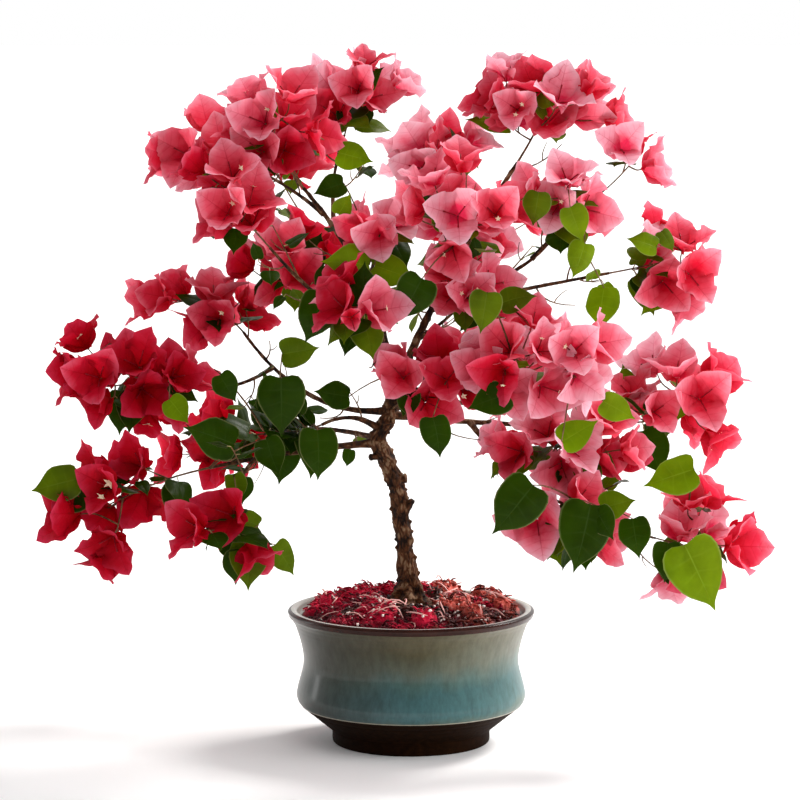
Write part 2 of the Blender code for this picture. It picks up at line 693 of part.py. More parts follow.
def make_masses(paths, bark):
    """Each mass is joined into one body, and keeps clear of the limbs and of the masses made before it."""
    limbs = limb_surface(paths)
    wood, green = material("twig", BARK, 0.7), material("leaf", LEAF_GREEN, 0.45)
    before = []
    for mass in MASSES:
        twigs, blades = grow(mass, paths, limbs, surface_of(before))
        petals = material("bract_" + mass.tone, TONES[mass.tone], 0.5)
        body = add_object("blooms_" + mass.name, *twig_shape(twigs[0]), wood)
        if mass.name not in paths:
            boolean(body, [cutter("trunk", paths, bark)], "DIFFERENCE")
        pieces = [add_object("twig", *twig_shape(twig), wood) for twig in twigs[1:]]
        for blade in blades:
            finish = petals if blade.kind == "bract" else green
            pieces.append(add_object(blade.kind, *blade_points(blade), finish))
        boolean(body, pieces, "UNION")
        keep_largest(body)
        before += [twig_shape(twig, CLEARANCE) for twig in twigs]
        before += [blade_points(blade, CLEARANCE) for blade in blades]


def main():
    clear_scene()
    bark = material("bark", BARK, 0.85)
    make_pot()
    make_root_ball()
    paths = limb_paths()
    make_trunk(paths, bark)
    make_boughs(paths, bark)
    make_masses(paths, bark)


main()
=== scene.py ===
"""The looks of a bougainvillea trained as a small tree, in a round glazed pot.

The trunk, the boughs and every mass grow by the same seeded rule as the solids do. The rule is then carried
on: more flower heads stand between those that the solids have, fine side twigs leave the boughs, and every
bract and leaf becomes a curved, veined sheet at its real size. The pot is a finely turned and glazed wall,
and the root ball is dressed with shredded red mulch.
"""

import json
import math
import random
from collections import namedtuple

import bpy
import numpy as np
from mathutils import Matrix, Vector, noise
from mathutils.bvhtree import BVHTree

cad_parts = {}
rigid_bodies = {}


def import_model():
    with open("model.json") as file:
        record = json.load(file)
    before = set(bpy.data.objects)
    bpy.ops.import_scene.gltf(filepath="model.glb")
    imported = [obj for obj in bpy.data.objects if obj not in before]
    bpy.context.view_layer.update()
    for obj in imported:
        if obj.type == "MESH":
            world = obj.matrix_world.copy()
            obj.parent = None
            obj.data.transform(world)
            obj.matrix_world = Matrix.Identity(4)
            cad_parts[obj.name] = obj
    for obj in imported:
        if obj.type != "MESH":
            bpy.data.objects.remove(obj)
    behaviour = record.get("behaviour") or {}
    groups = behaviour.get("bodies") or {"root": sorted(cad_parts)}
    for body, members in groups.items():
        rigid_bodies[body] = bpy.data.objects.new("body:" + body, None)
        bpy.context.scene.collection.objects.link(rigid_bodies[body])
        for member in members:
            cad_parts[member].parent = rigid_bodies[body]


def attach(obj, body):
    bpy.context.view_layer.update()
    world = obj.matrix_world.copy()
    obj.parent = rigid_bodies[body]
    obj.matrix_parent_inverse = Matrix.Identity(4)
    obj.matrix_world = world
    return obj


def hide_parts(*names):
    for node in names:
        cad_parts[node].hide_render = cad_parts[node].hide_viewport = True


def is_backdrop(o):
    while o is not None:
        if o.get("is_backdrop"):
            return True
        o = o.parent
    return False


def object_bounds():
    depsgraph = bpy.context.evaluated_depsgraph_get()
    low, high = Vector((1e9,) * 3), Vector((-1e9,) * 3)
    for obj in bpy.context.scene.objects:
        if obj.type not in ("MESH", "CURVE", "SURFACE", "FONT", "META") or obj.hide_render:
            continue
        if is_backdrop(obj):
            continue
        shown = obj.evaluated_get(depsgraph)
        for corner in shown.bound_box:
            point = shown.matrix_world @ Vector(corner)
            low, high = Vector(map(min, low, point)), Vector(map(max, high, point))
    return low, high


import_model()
cad_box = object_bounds()

# Pot, in metres. Radii are of the outer surface.
RIM_RADIUS = 0.1225
POT_HEIGHT = 0.134
LIP_HEIGHT = 0.006
LIP_ROUNDING = 0.002
NECK_RADIUS = 0.1137
NECK_HEIGHT = POT_HEIGHT - 3 * LIP_HEIGHT
WAIST_RADIUS = 0.1067
WAIST_HEIGHT = 0.083
BELLY_RADIUS = 0.1134
BELLY_HEIGHT = 0.046
SHOULDER_RADIUS = 0.100
SHOULDER_HEIGHT = 0.030
FOOT_RADIUS = 0.0785
FOOT_HEIGHT = 0.0125
FOOT_CHAMFER = 0.003
POT_WALL = 0.0095

# The pot's skin: how far the lip's dark band and the glaze reach, the glaze's thickness, and the marks and
# unevenness of throwing
LIP_BAND = 0.0070
GLAZE_HEIGHT = 0.0375
GLAZE_EDGE = 0.0005
THROWING_RINGS = 0.00012
THROWING_PITCH = 0.0045
POT_DRIFT = 0.0004
DRIFT_TURNS = 2
DRIFT_HEIGHT = 0.05

# The pot's fineness, where round its curve the lip starts, and the share of it that is outside
POT_STEPS = 180
WALL_RINGS = 64
ROUND_STEPS = 5
LIP_STEPS = 16
LIP_START = 0.3
LIP_OUTSIDE = 0.42
CLAY_FINISH, EDGE_FINISH, GLAZE_FINISH, LIP_FINISH, INSIDE_FINISH = range(5)

# Root ball and mulch: a field of small cells raised into clumps, lower by the wall and the trunk
SOIL_TOP = 0.1385
SOIL_SINK = 0.002
SOIL_EDGE_DROP = 0.010
SOIL_GAP = 0.0035
SOIL_REACH = RIM_RADIUS - POT_WALL - SOIL_GAP
SOIL_CELL = 0.0011
CLUMPS = 66
CLUMP_REACH = 0.97
CLUMP_SIZE = (0.010, 0.020)
CLUMP_RISE = (0.004, 0.016)
CLUMP_ROUGHNESS = 0.0034
CLUMP_GRAIN = 0.0046
ROUGH_LEVEL = 0.5
ROUGH_FADE = 6
WALL_SLOPE = 0.02
WALL_LEAST = 0.25
FOOT_CLEARING = 0.016
FOOT_SLOPE = 0.03
FOOT_LEAST = 0.15
# Painted shade: the mulch darkens where it lies low between clumps, over this depth, down to this share of
# its light
CREVICE_DEPTH = 0.009
CREVICE_LIGHT = 0.22
MULCH_SEED = 9

# Where each colour of mulch lies: brown round the trunk, coral on the right, crimson elsewhere
BROWN_CENTRE = (-0.006, 0.010)
BROWN_REACH = 0.034
BROWN_SHARE = 0.75
CORAL_FROM = 0.015
CORAL_SHARE = 0.68
STRAY_BROWN = 0.90

# Loose pieces on the mulch, each a curled shred: chips, pale strands and white crumbs. Reach is a share of
# the soil's, and tilt is how far they stand up.
CHIPS = 3300
CHIP_REACH = 0.96
CHIP_LIFT = (-0.0006, 0.0012)
CHIP_LENGTH = (0.003, 0.011)
CHIP_WIDTH = (0.0005, 0.0015)
CHIP_TILT = 0.45
CHIP_SHADE = (0.1, 1.4)
CHIP_OF_CLUMP = 0.85
STRANDS = 60
STRAND_REACH = 0.86
STRAND_LIFT = 0.002
STRAND_LENGTH = (0.014, 0.034)
STRAND_WIDTH = (0.0005, 0.0010)
STRAND_TILT = 0.3
CRUMBS = 240
CRUMB_REACH = 0.94
CRUMB_SIZE = (0.0008, 0.0018)
CRUMB_TILT = 0.5
PALE_SHADE = 0.95
SHRED_STEPS = 4
SHRED_SIDES = 4
SHRED_CURL = 0.8
SHRED_ARCH = 0.25

GAP = 0.0003

# Trunk: points up its middle line, each with the radius there
TRUNK_SPINE = (
    (-0.002, 0.000, SOIL_TOP + GAP, 0.0190),
    (-0.002, 0.000, 0.1500, 0.0125),
    (-0.004, 0.001, 0.1700, 0.0098),
    (-0.008, 0.003, 0.2100, 0.0086),
    (-0.013, 0.004, 0.2480, 0.0084),
    (-0.022, 0.002, 0.2780, 0.0085),
    (-0.033, -0.001, 0.3010, 0.0082),
    (-0.025, -0.002, 0.3190, 0.0074),
    (-0.019, 0.000, 0.3380, 0.0068),
)
TRUNK_STEPS = 20

# The trunk's foot: its swelling over the main roots, and the bark's spread at the mulch
FLARE_HEIGHT = 0.030
FLARE_ROOTS = 5
FLARE_SWELL = 0.22
BARK_FLARE = 0.35
BARK_FLARE_HEIGHT = 0.012

# Pruned stubs on the trunk: share of the trunk's length, way out, length and radius
STUBS = (
    (0.42, (0.55, -0.15, 0.80), 0.021, 0.0032),
    (0.60, (0.90, -0.20, 0.10), 0.0125, 0.0036),
    (0.73, (-0.80, -0.30, -0.05), 0.016, 0.0034),
)
STUB_STEPS = 14
STUB_SIDES = 18
STUB_WIDTH = 1.15
STUB_COLLAR = 0.9
STUB_COLLAR_LENGTH = 0.004
STUB_END = 0.8

# Bark relief: plates between fissures that run along the limb, flakes on them, and lumps and knobs
BARK_SEED = 5
TRUNK_ROWS = 340
TRUNK_SIDES = 96
TRUNK_SINK = 0.006
FISSURE_WIDTH = 0.0044
FISSURE_STRETCH = 2.3
FISSURE_DEPTH = 0.0017
FISSURE_BEND = 0.5
FISSURE_BEND_SIZE = 0.7
PLATE_LOW = 0.10
PLATE_RISE = 0.62
PLATE_STEEPNESS = 2.4
PLATE_ROUNDING = 0.6
FLAKE_SIZE = 2.6
FLAKE_PLACE = Vector((7, 3, 1))
FLAKE_STEEPNESS = 2.2
FLAKE_RISE = 0.32
FLAKE_LEVEL = 0.4
PATCH_SIZE = 0.5
PATCH_RISE = 0.35
BARK_LEVEL = 0.6
# Bark is painted lighter on its lumps by this share of their bulge: partly wear, partly painted light
BARK_LUMP_SHADE = 0.5
LUMP_WIDTH = 0.009
LUMP_HEIGHT = 0.0030
KNOB_WIDTH = 0.0052
KNOB_HEIGHT = 0.0060
KNOB_FROM = 0.26

# Bark of the boughs, with a collar where each leaves its parent, and deeper on the thick ones
BOUGH_SIDES_FINE = 14
BOUGH_ROW = 0.0022
BOUGH_LEAST_ROWS = 12
BOUGH_DEPTH_SHARE = 0.2
THICK_BOUGH = 0.004
THICK_DEPTH = 2
COLLAR_LENGTH = 0.014
COLLAR_SWELL = 0.75

Limb = namedtuple("Limb", "name parent share control tip start_radius tip_radius")

# Boughs: where each leaves its parent, the point that pulls its curve, its tip, and its radii
BOUGHS = [Limb(*row) for row in (
    ("top_left", "trunk", 1.00, (-0.020, 0.005, 0.452), (-0.105, -0.030, 0.553), 0.0046, 0.0020),
    ("top_right", "trunk", 1.00, (0.010, 0.000, 0.432), (0.105, 0.030, 0.575), 0.0048, 0.0020),
    ("left_spray", "trunk", 0.97, (-0.105, 0.020, 0.320), (-0.170, 0.100, 0.400), 0.0032, 0.0015),
    ("right_front", "trunk", 0.99, (0.030, -0.050, 0.378), (0.070, -0.100, 0.368), 0.0029, 0.0016),
    ("right_outer", "trunk", 0.95, (0.100, 0.010, 0.312), (0.215, 0.015, 0.317), 0.0033, 0.0016),
    ("left_low", "trunk", 0.80, (-0.100, -0.020, 0.298), (-0.195, -0.075, 0.285), 0.0037, 0.0017),
    ("left_green", "trunk", 0.86, (-0.055, -0.012, 0.336), (-0.088, -0.020, 0.320), 0.0028, 0.0016),
    ("back_low_left", "trunk", 0.82, (-0.090, 0.070, 0.312), (-0.150, 0.150, 0.290), 0.0028, 0.0015),
    ("back_right", "trunk", 0.97, (0.030, 0.070, 0.345), (0.075, 0.140, 0.362), 0.0030, 0.0016),
    ("left_shoulder", "top_left", 0.28, (-0.085, -0.055, 0.435), (-0.135, -0.100, 0.500), 0.0028, 0.0015),
    ("left_inner", "top_left", 0.36, (-0.068, 0.050, 0.440), (-0.105, 0.085, 0.458), 0.0022, 0.0014),
    ("centre_upper", "top_left", 0.52, (-0.037, -0.030, 0.470), (-0.036, -0.045, 0.492), 0.0021, 0.0014),
    ("centre_front", "top_left", 0.15, (-0.030, -0.060, 0.392), (-0.045, -0.115, 0.420), 0.0024, 0.0015),
    ("back_left", "top_left", 0.32, (-0.060, 0.095, 0.440), (-0.115, 0.160, 0.520), 0.0024, 0.0014),
    ("top_left_high", "top_left", 0.78, (-0.082, 0.015, 0.560), (-0.066, 0.040, 0.602), 0.0020, 0.0013),
    ("top_left_far", "top_left", 0.86, (-0.125, -0.010, 0.560), (-0.172, 0.010, 0.578), 0.0018, 0.0013),
    ("centre_high", "top_right", 0.62, (0.030, 0.050, 0.520), (0.008, 0.075, 0.556), 0.0021, 0.0013),
    ("centre_right", "top_right", 0.50, (0.040, -0.040, 0.470), (0.047, -0.078, 0.508), 0.0021, 0.0014),
    ("centre_low", "top_right", 0.26, (0.022, -0.012, 0.412), (0.040, -0.022, 0.430), 0.0021, 0.0014),
    ("back_centre", "top_right", 0.34, (0.020, 0.085, 0.420), (0.045, 0.160, 0.470), 0.0024, 0.0014),
    ("right_shoulder", "top_right", 0.44, (0.100, -0.020, 0.458), (0.135, -0.040, 0.502), 0.0026, 0.0015),
    ("right_far", "top_right", 0.38, (0.090, 0.030, 0.446), (0.198, 0.050, 0.464), 0.0026, 0.0015),
    ("top_right_far", "right_shoulder", 0.80, (0.150, -0.008, 0.518), (0.187, 0.010, 0.546), 0.0017, 0.0012),
    ("left_mid", "left_spray", 0.72, (-0.172, 0.050, 0.345), (-0.215, 0.030, 0.350), 0.0018, 0.0013),
    ("left_drop", "left_low", 0.72, (-0.165, -0.095, 0.285), (-0.166, -0.130, 0.262), 0.0018, 0.0013),
    ("right_low", "right_outer", 0.42, (0.088, -0.028, 0.308), (0.106, -0.052, 0.302), 0.0022, 0.0014),
    ("right_drop", "right_outer", 0.34, (0.098, -0.035, 0.272), (0.118, -0.082, 0.246), 0.0022, 0.0013),
    ("right_tip", "right_drop", 0.55, (0.165, -0.068, 0.232), (0.238, -0.070, 0.215), 0.0016, 0.0012),
)]
BOUGH_STEPS = 6
BOUGH_SIDES = 5

Mass = namedtuple("Mass", "name centre radii heads leaves tone seed fine_heads fine_leaves fine_seed")

# Masses: the middle and half-widths of each one's space, its flower heads and leaves, its tone and its seed.
# The bough of the same name bears each, and the trunk bears the one that has no such bough. The last three
# values are the heads, leaves and seed of the finer growth.
MASSES = [Mass(*row) for row in (
    ("left_low", (-0.292, -0.100, 0.252), (0.092, 0.068, 0.085), 6, 4, "crimson", 3800, 4, 4, 6000),
    ("left_drop", (-0.170, -0.160, 0.230), (0.062, 0.055, 0.060), 2, 5, "crimson", 3001, 1, 8, 1401),
    ("left_mid", (-0.286, 0.030, 0.366), (0.092, 0.074, 0.064), 6, 3, "crimson", 1802, 10, 8, 4002),
    ("left_green", (-0.145, -0.025, 0.315), (0.082, 0.060, 0.066), 0, 13, "crimson", 403, 0, 8, 2603),
    ("left_spray", (-0.210, 0.120, 0.425), (0.090, 0.062, 0.052), 4, 5, "rose", 1204, 5, 1, 3304),
    ("top_left_far", (-0.220, 0.020, 0.590), (0.064, 0.062, 0.060), 3, 1, "rose", 1805, 4, 8, 1505),
    ("top_left", (-0.135, -0.085, 0.618), (0.064, 0.062, 0.064), 4, 2, "rose", 2506, 6, 7, 2506),
    ("top_left_high", (-0.060, 0.050, 0.645), (0.072, 0.066, 0.058), 4, 3, "coral", 2307, 6, 8, 5207),
    ("left_shoulder", (-0.172, -0.130, 0.545), (0.062, 0.062, 0.062), 3, 1, "rose", 808, 5, 6, 5208),
    ("left_inner", (-0.130, 0.100, 0.470), (0.068, 0.062, 0.060), 4, 3, "rose", 1509, 6, 8, 3009),
    ("centre_upper", (-0.030, -0.080, 0.520), (0.058, 0.058, 0.052), 2, 4, "coral", 3610, 2, 8, 2810),
    ("centre_front", (-0.050, -0.170, 0.450), (0.058, 0.058, 0.054), 2, 4, "rose", 2711, 3, 8, 2911),
    ("centre_high", (0.020, 0.080, 0.592), (0.064, 0.060, 0.056), 3, 1, "coral", 812, 3, 8, 5212),
    ("centre_right", (0.050, -0.120, 0.540), (0.068, 0.066, 0.060), 4, 1, "coral", 2613, 6, 5, 813),
    ("centre_low", (0.055, -0.045, 0.458), (0.066, 0.058, 0.058), 2, 4, "coral", 1014, 3, 8, 3514),
    ("heart", (0.020, -0.100, 0.375), (0.062, 0.058, 0.060), 3, 6, "rose", 1715, 5, 8, 1015),
    ("top_right", (0.135, 0.050, 0.630), (0.092, 0.066, 0.060), 6, 2, "coral", 1716, 10, 5, 616),
    ("top_right_far", (0.225, 0.020, 0.585), (0.058, 0.056, 0.054), 2, 1, "coral", 1117, 1, 0, 4717),
    ("right_shoulder", (0.150, -0.060, 0.545), (0.072, 0.060, 0.064), 4, 5, "coral", 2718, 4, 7, 5718),
    ("right_far", (0.255, 0.060, 0.475), (0.070, 0.064, 0.072), 4, 4, "coral", 2619, 4, 8, 5319),
    ("right_front", (0.115, -0.150, 0.395), (0.090, 0.066, 0.066), 6, 3, "coral", 1920, 10, 8, 3120),
    ("right_outer", (0.282, 0.020, 0.340), (0.102, 0.076, 0.086), 7, 3, "coral", 1621, 4, 8, 2921),
    ("right_low", (0.150, -0.065, 0.300), (0.096, 0.058, 0.058), 5, 5, "coral", 1422, 8, 8, 2922),
    ("right_drop", (0.150, -0.100, 0.230), (0.088, 0.056, 0.056), 2, 8, "coral", 923, 3, 8, 5323),
    ("right_tip", (0.290, -0.070, 0.202), (0.076, 0.066, 0.078), 4, 4, "coral", 1424, 5, 8, 124),
    ("back_left", (-0.145, 0.200, 0.570), (0.078, 0.068, 0.068), 4, 5, "rose", 2825, 6, 8, 625),
    ("back_low_left", (-0.195, 0.200, 0.280), (0.086, 0.070, 0.064), 4, 5, "crimson", 2126, 6, 8, 926),
    ("back_centre", (0.060, 0.220, 0.500), (0.086, 0.070, 0.072), 5, 5, "coral", 2527, 8, 8, 327),
    ("back_right", (0.105, 0.200, 0.375), (0.088, 0.070, 0.070), 4, 5, "coral", 628, 6, 8, 1628),
)]

# How closely heads and leaves stand: in the solids, and then in the finer growth among them, where a sheet
# keeps only its snug share clear of others
Habit = namedtuple("Habit", "bract_length leaf_length spacing margin tries snug")
COARSE = Habit((0.046, 0.057), (0.044, 0.068), 0.052, 0.018, 200, 1.0)
FINE = Habit((0.040, 0.050), (0.024, 0.044), 0.040, 0.010, 150, 0.60)

# Flower heads: three bracts round an axis. Shares are of a bract's length.
BRACTS_IN_HEAD = 3
BRACT_WIDTH_SHARE = 0.94
BRACT_WIDEST_AT = 0.54
BRACT_OPENING = (math.radians(37), math.radians(54))
BRACT_THICKNESS = 0.0012
BRACT_CUP = 0.03
HEAD_BASE_SHARE = 0.35

# Leaves, shares of a leaf's length too
LEAF_WIDTH_SHARE = 0.76
LEAF_WIDEST_AT = 0.38
LEAF_THICKNESS = 0.0012
LEAF_CUP = -0.05
LEAF_PLACES = (0.10, 0.85)
LEAF_DROOP = (0.1, 0.9)
LEAF_FORWARD = 0.3
LEAF_OUTWARD = 0.6
ROOT_OFFSET = 0.0003

# Stems and twigs. A twig pays for its length, and less for one that goes on the way its parent points.
STEM_POINTS = 4
STEM_BEND = 0.5
TRUNK_STEM_SHARE = 0.97
TRUNK_STEM_RADIUS = 0.0016
TWIG_POINTS = 3
TWIG_SIDES = 3
TWIG_PLACES = (0.25, 0.40, 0.55, 0.70, 0.85)
TWIG_SPACING = 0.005
TWIG_BASE_RADIUS = 0.0011
TWIG_TIP_RADIUS = 0.0019
TWIG_BEND = 0.4
LENGTH_COST = 1.6
AHEAD_CREDIT = 0.6

# Growth: how heads are spread and which way they look
GOOD_ENOUGH = 3
CLEARANCE = 0.0008
CROWN_HEART = Vector((-0.010, 0.020, 0.380))
OUT_OF_CROWN = 0.55
OUT_OF_MASS = 0.80
UPWARD = 0.45
SCATTER = 0.45
LIGHT_WAY = Vector((0, -0.35, 0))
GOLDEN_ANGLE = math.radians(137.5)
UP = Vector((0, 0, 1))

# Side twigs on the boughs, each with a fork and some with small leaves. Ahead, rise and lead say how far each
# part keeps to its parent's way, turns up, and leaves its parent before it bends.
SIDE_TWIG_PITCH = 0.034
SIDE_TWIG_FROM = 0.18
SIDE_TWIG_UNTIL = 0.98
SIDE_TWIG_LENGTH = (0.022, 0.062)
SIDE_TWIG_RADIUS = 0.0010
SIDE_TWIG_AHEAD = 0.9
SIDE_TWIG_RISE = 0.30
SIDE_TWIG_LEAD = 0.3
SIDE_TWIG_STEPS = 6
SIDE_TWIG_BEND = 0.45
SIDE_TWIG_TAPER = 0.5
FORK_AT = 0.55
FORK_LENGTH = 0.60
FORK_SPREAD = (0.4, 1.0)
FORK_RISE = 0.2
FORK_LEAD = 0.4
LEAFY_SHARE = 0.45
SIDE_LEAVES = (0.6, 1.0)
SIDE_LEAF_LENGTH = (0.020, 0.036)
SIDE_LEAF_AHEAD = 0.5
SIDE_LEAF_DROOP = 0.6
SIDE_LEAF_OUT = 0.3
SIDE_SEED = 51

# Large leaves that hang before the masses: the leaf's root in millimetres, the turn of its tip seen from in
# front (0 to the right, 90 up), its length and its tone, partly the leaf's own green and partly painted shade
# and light. Each hangs from the nearest twig.
FRONT_LEAVES = (
    (-320, -120, 280, 195, 50, "middle"), (-310, -110, 270, 215, 42, "dark"),
    (-170, -90, 310, 160, 54, "dark"), (-125, -95, 375, -90, 58, "dark"),
    (-90, -100, 325, -90, 50, "dark"), (-140, -90, 315, -70, 40, "dark"),
    (-155, -150, 225, -90, 48, "middle"), (-130, -140, 220, -60, 36, "middle"),
    (-145, -150, 240, 160, 30, "middle"), (-170, -120, 285, -75, 28, "middle"),
    (-185, -70, 375, -60, 32, "dark"), (-125, -70, 395, 10, 38, "middle"),
    (-235, -60, 350, -50, 32, "bright"), (-60, -80, 355, 170, 36, "dark"),
    (-40, -120, 485, 175, 48, "bright"), (-35, -120, 485, -20, 42, "bright"),
    (-70, -80, 590, -15, 36, "bright"), (-65, -70, 560, 200, 32, "dark"),
    (-70, -70, 530, 60, 24, "bright"), (10, -155, 475, -120, 48, "dark"),
    (-85, -100, 455, -110, 50, "dark"), (20, -165, 345, -80, 40, "dark"),
    (70, -190, 465, -100, 40, "middle"), (120, -130, 555, -100, 34, "middle"),
    (150, -120, 540, -70, 36, "bright"), (165, -110, 505, -110, 36, "bright"),
    (85, -130, 450, 10, 36, "middle"), (185, -80, 460, -95, 44, "bright"),
    (240, -20, 495, 165, 32, "bright"), (245, -10, 510, -60, 24, "middle"),
    (90, -195, 370, 200, 42, "dark"), (115, -160, 280, -130, 62, "dark"),
    (170, -150, 260, -105, 68, "dark"), (180, -140, 255, 15, 36, "middle"),
    (210, -140, 245, -80, 40, "dark"), (175, -150, 255, -60, 34, "dark"),
    (245, -130, 220, -95, 40, "dark"), (260, -140, 220, -65, 72, "bright"),
    (270, -120, 290, 200, 52, "bright"), (180, -160, 360, -30, 36, "bright"),
    (140, -190, 325, 30, 40, "bright"),
)
MILLIMETRE = 0.001
FRONT_FACE = Vector((0.0, -1.0, 0.35))
FRONT_LEAN = (-0.3, 0.1)
FRONT_TURN = (-0.45, 0.45)
FRONT_TILT = (-0.2, 0.3)
FRONT_SEED = 77

# Fine shape of twigs, and of the stalks that join leaves to them
TWIG_STEPS = 9
TWIG_SIDES_FINE = 7
STEM_THINNING = 0.62
TWIG_START_SHARE = 0.85
TWIG_END_SHARE = 0.50
STALK_SIDES = 5
STALK_STEPS = 5
STALK_ARCH = 0.12
STALK_GAIN = 0.008
LONG_STALK = 0.020
PETIOLE_SHARE = 0.16
PETIOLE_RADIUS = 0.00055

# Fine shape of bracts and leaves: a sheet whose cross rows follow its side veins. Its outline gives the share
# of its half-width at shares of its length, and the rest are shares of its length.
Sheet = namedtuple("Sheet", "outline width lobe sweep cup pucker rib wave waves bend twist columns veins")
BRACT_OUTLINE = (
    (0, 0.08), (0.04, 0.38), (0.10, 0.64), (0.18, 0.84), (0.28, 0.96), (0.39, 1.0), (0.51, 0.95),
    (0.62, 0.84), (0.73, 0.66), (0.82, 0.48), (0.90, 0.30), (0.95, 0.16), (1, 0),
)
LEAF_OUTLINE = (
    (0, 0.10), (0.03, 0.36), (0.06, 0.55), (0.10, 0.72), (0.15, 0.85), (0.22, 0.95), (0.30, 1.0),
    (0.38, 0.99), (0.47, 0.93), (0.56, 0.82), (0.65, 0.66), (0.73, 0.47), (0.80, 0.29), (0.86, 0.15),
    (0.91, 0.08), (0.96, 0.04), (1, 0),
)
BRACT_SHEET = Sheet(
    BRACT_OUTLINE, 0.90, 0.04, 0.30, (0.10, 0.55), 0.028, 0.026, 0.055, 3.0, (-0.15, 0.85), 0.42, 14, 6
)
LEAF_SHEET = Sheet(
    LEAF_OUTLINE, 0.80, 0.125, 0.26, (-0.35, 0.15), 0.016, 0.020, 0.020, 1.6, (0.1, 0.9), 0.30, 10, 5
)
ROWS_PER_VEIN = 3
ROW_CROWDING = 0.09
LEAST_WIDTH = 0.012
LOBE_AT = 0.08
RIPPLE_OUT = 0.035
RIB_WIDTH = 0.16
LEAST_BEND = 1e-4
SHRINK = 0.96
BRACT_SCALE = 0.93
BEND_SPREAD = 0.2

# The true flowers: a slender tube on most bracts, some of them open as a star
TUBE_SPAN = (0.08, 0.42)
TUBE_RADII = (0.0005, 0.0007, 0.0006, 0.0006, 0.0008)
TUBE_LIFT = 0.0016
TUBE_SIDES = 6
TUBES_SHARE = 0.85
OPEN_SHARE = 0.13
STAR_RADIUS = {"crimson": 0.0066, "rose": 0.0040, "coral": 0.0032}
STAR_POINTS = 5
STAR_NOTCH = 0.42
STAR_CUP = 0.25

# Tones of bracts, deepest first: the material slot, the tone and the paler tone of its edges
BRACT_TONES = {
    "deep": ("bract_crimson", (0.43, 0.0028, 0.015), (0.55, 0.030, 0.075)),
    "crimson": ("bract_crimson", (0.51, 0.0064, 0.027), (0.64, 0.092, 0.155)),
    "rose": ("bract_rose", (0.63, 0.027, 0.062), (0.77, 0.205, 0.280)),
    "coral": ("bract_coral", (0.71, 0.083, 0.132), (0.79, 0.345, 0.430)),
    "pink": ("bract_coral", (0.76, 0.168, 0.238), (0.82, 0.460, 0.545)),
    "pale": ("bract_coral", (0.80, 0.318, 0.400), (0.85, 0.575, 0.665)),
}

# How a head's place and the tone of its mass pick its own tone: higher up and further right it takes a paler
# tone, which is painted light from above and the right
TONE_START = {"crimson": 0.8, "rose": 2.8, "coral": 3.7}
PAINTED_LIGHT_BY_HEIGHT = 1.2
TONE_LEVEL = 0.45
PAINTED_LIGHT_BY_SIDE = 1.4
TONE_SPREAD = 1.8

# Tones of leaves, darkest first, partly the leaves' own greens and partly painted shade and light, and how a
# leaf's place picks one: brighter higher up and to the right, as painted light
LEAF_TONES = {
    "dark": (0.0135, 0.031, 0.0005),
    "middle": (0.060, 0.090, 0.002),
    "bright": (0.095, 0.148, 0.002),
}
LEAF_TONE_START = 0.75
LEAF_PAINTED_LIGHT_BY_SIDE = 2.4
LEAF_PAINTED_LIGHT_BY_HEIGHT = 2.2
LEAF_TONE_SPREAD = (-0.7, 1.1)

# How surfaces are described. A grain is noise, and its scale is how many of its spots a metre holds. A look
# is a surface's roughness and gloss, and the depth and strength of its fine relief. A fade gives values from
# low to high as what it follows goes from start to end.
Grain = namedtuple("Grain", "scale detail stretch roughness", defaults=((1, 1, 1), 0.55))
Look = namedtuple("Look", "roughness gloss depth strength")
Fade = namedtuple("Fade", "start end low high", defaults=(0.0, 1.0))
MIDDLE = 0.5

# Bracts and leaves: how strong the side veins are beside the midrib, how far veins tint the sheet, the fine
# creases' scale and share, how much light passes through, and the look
Veined = namedtuple("Veined", "side_veins tint creases crease_share through look")
BRACT = Veined(0.6, 0.55, 900.0, 0.4, 0.48, Look(0.60, 0.08, 0.00035, 0.9))
LEAF = Veined(0.45, 0.6, 700.0, 0.25, 0.30, Look(0.34, 0.05, 0.00025, 0.7))
CREASE_DETAIL = 2.0
MIDRIB_SHARPNESS = 22.0
VEIN_SHARPNESS = 9.0
VEIN_FADE = 0.85

# A bract pales along its length, to its sides and in patches, from its deep base to its edge: partly its own
# colouring, partly painted shade at the base where a head's bracts meet and painted light at the edge
PALE_ALONG = 0.60
PALE_START = 0.02
PALE_ASIDE = 0.26
BRACT_PATCHES = Grain(60.0, 3.0)
PATCH_SWING = 0.5
BRACT_LEVELS = (0.12, 0.40, 0.78)
BRACT_DEEPENING = (0.84, 0.09, 0.22)
BRACT_VEIN_SHADE = 0.8

# A leaf's mottle, its pale veins and rim, and the colour of the light that passes through it
LEAF_MOTTLE = Grain(34.0, 5.0)
LEAF_MOTTLE_STEPS = ((0.32, 0.62), (0.68, 1.40))
LEAF_VEIN_GAIN = 1.8
LEAF_VEIN_LIFT = 0.014
LEAF_RIM = (0.36, 0.36, 0.15)
LEAF_RIM_SHARE = 0.55
LEAF_RIM_STEEPNESS = 9.0
LEAF_RIM_START = 8.3
LEAF_GLOW = (1.7, 2.1, 0.7)

# Bark: dark in its fissures, brown, worn and lit brown, and pale on its ridges
# The dark fissures and pale ridges are partly the bark's own colour and wear, partly painted shade and
# painted light
BARK_TONES = ((0.010, 0.004, 0.002), (0.050, 0.018, 0.006), (0.190, 0.115, 0.064))
TWIG_TONES = ((0.030, 0.012, 0.006), (0.11, 0.055, 0.026), (0.32, 0.22, 0.12))
BARK_LEVELS = (0.26, 0.45, 0.62, 0.80)
BARK_WORN_AND_LIT = 1.7
BARK_RELIEF_SHARE = 0.6
BARK_SHADE_LEVEL = 0.19
BARK_SWING = 0.9
BARK_BLOTCHES = Grain(45.0, 4.0, (1, 1, 0.6))
BARK_SPECKLE = Grain(260.0, 5.0, (1, 1, 0.35))
BARK_GRAIN = Grain(420.0, 6.0, (1, 1, 0.3))
BARK_LOOK = Look(0.78, 0.18, 0.0007, 0.9)

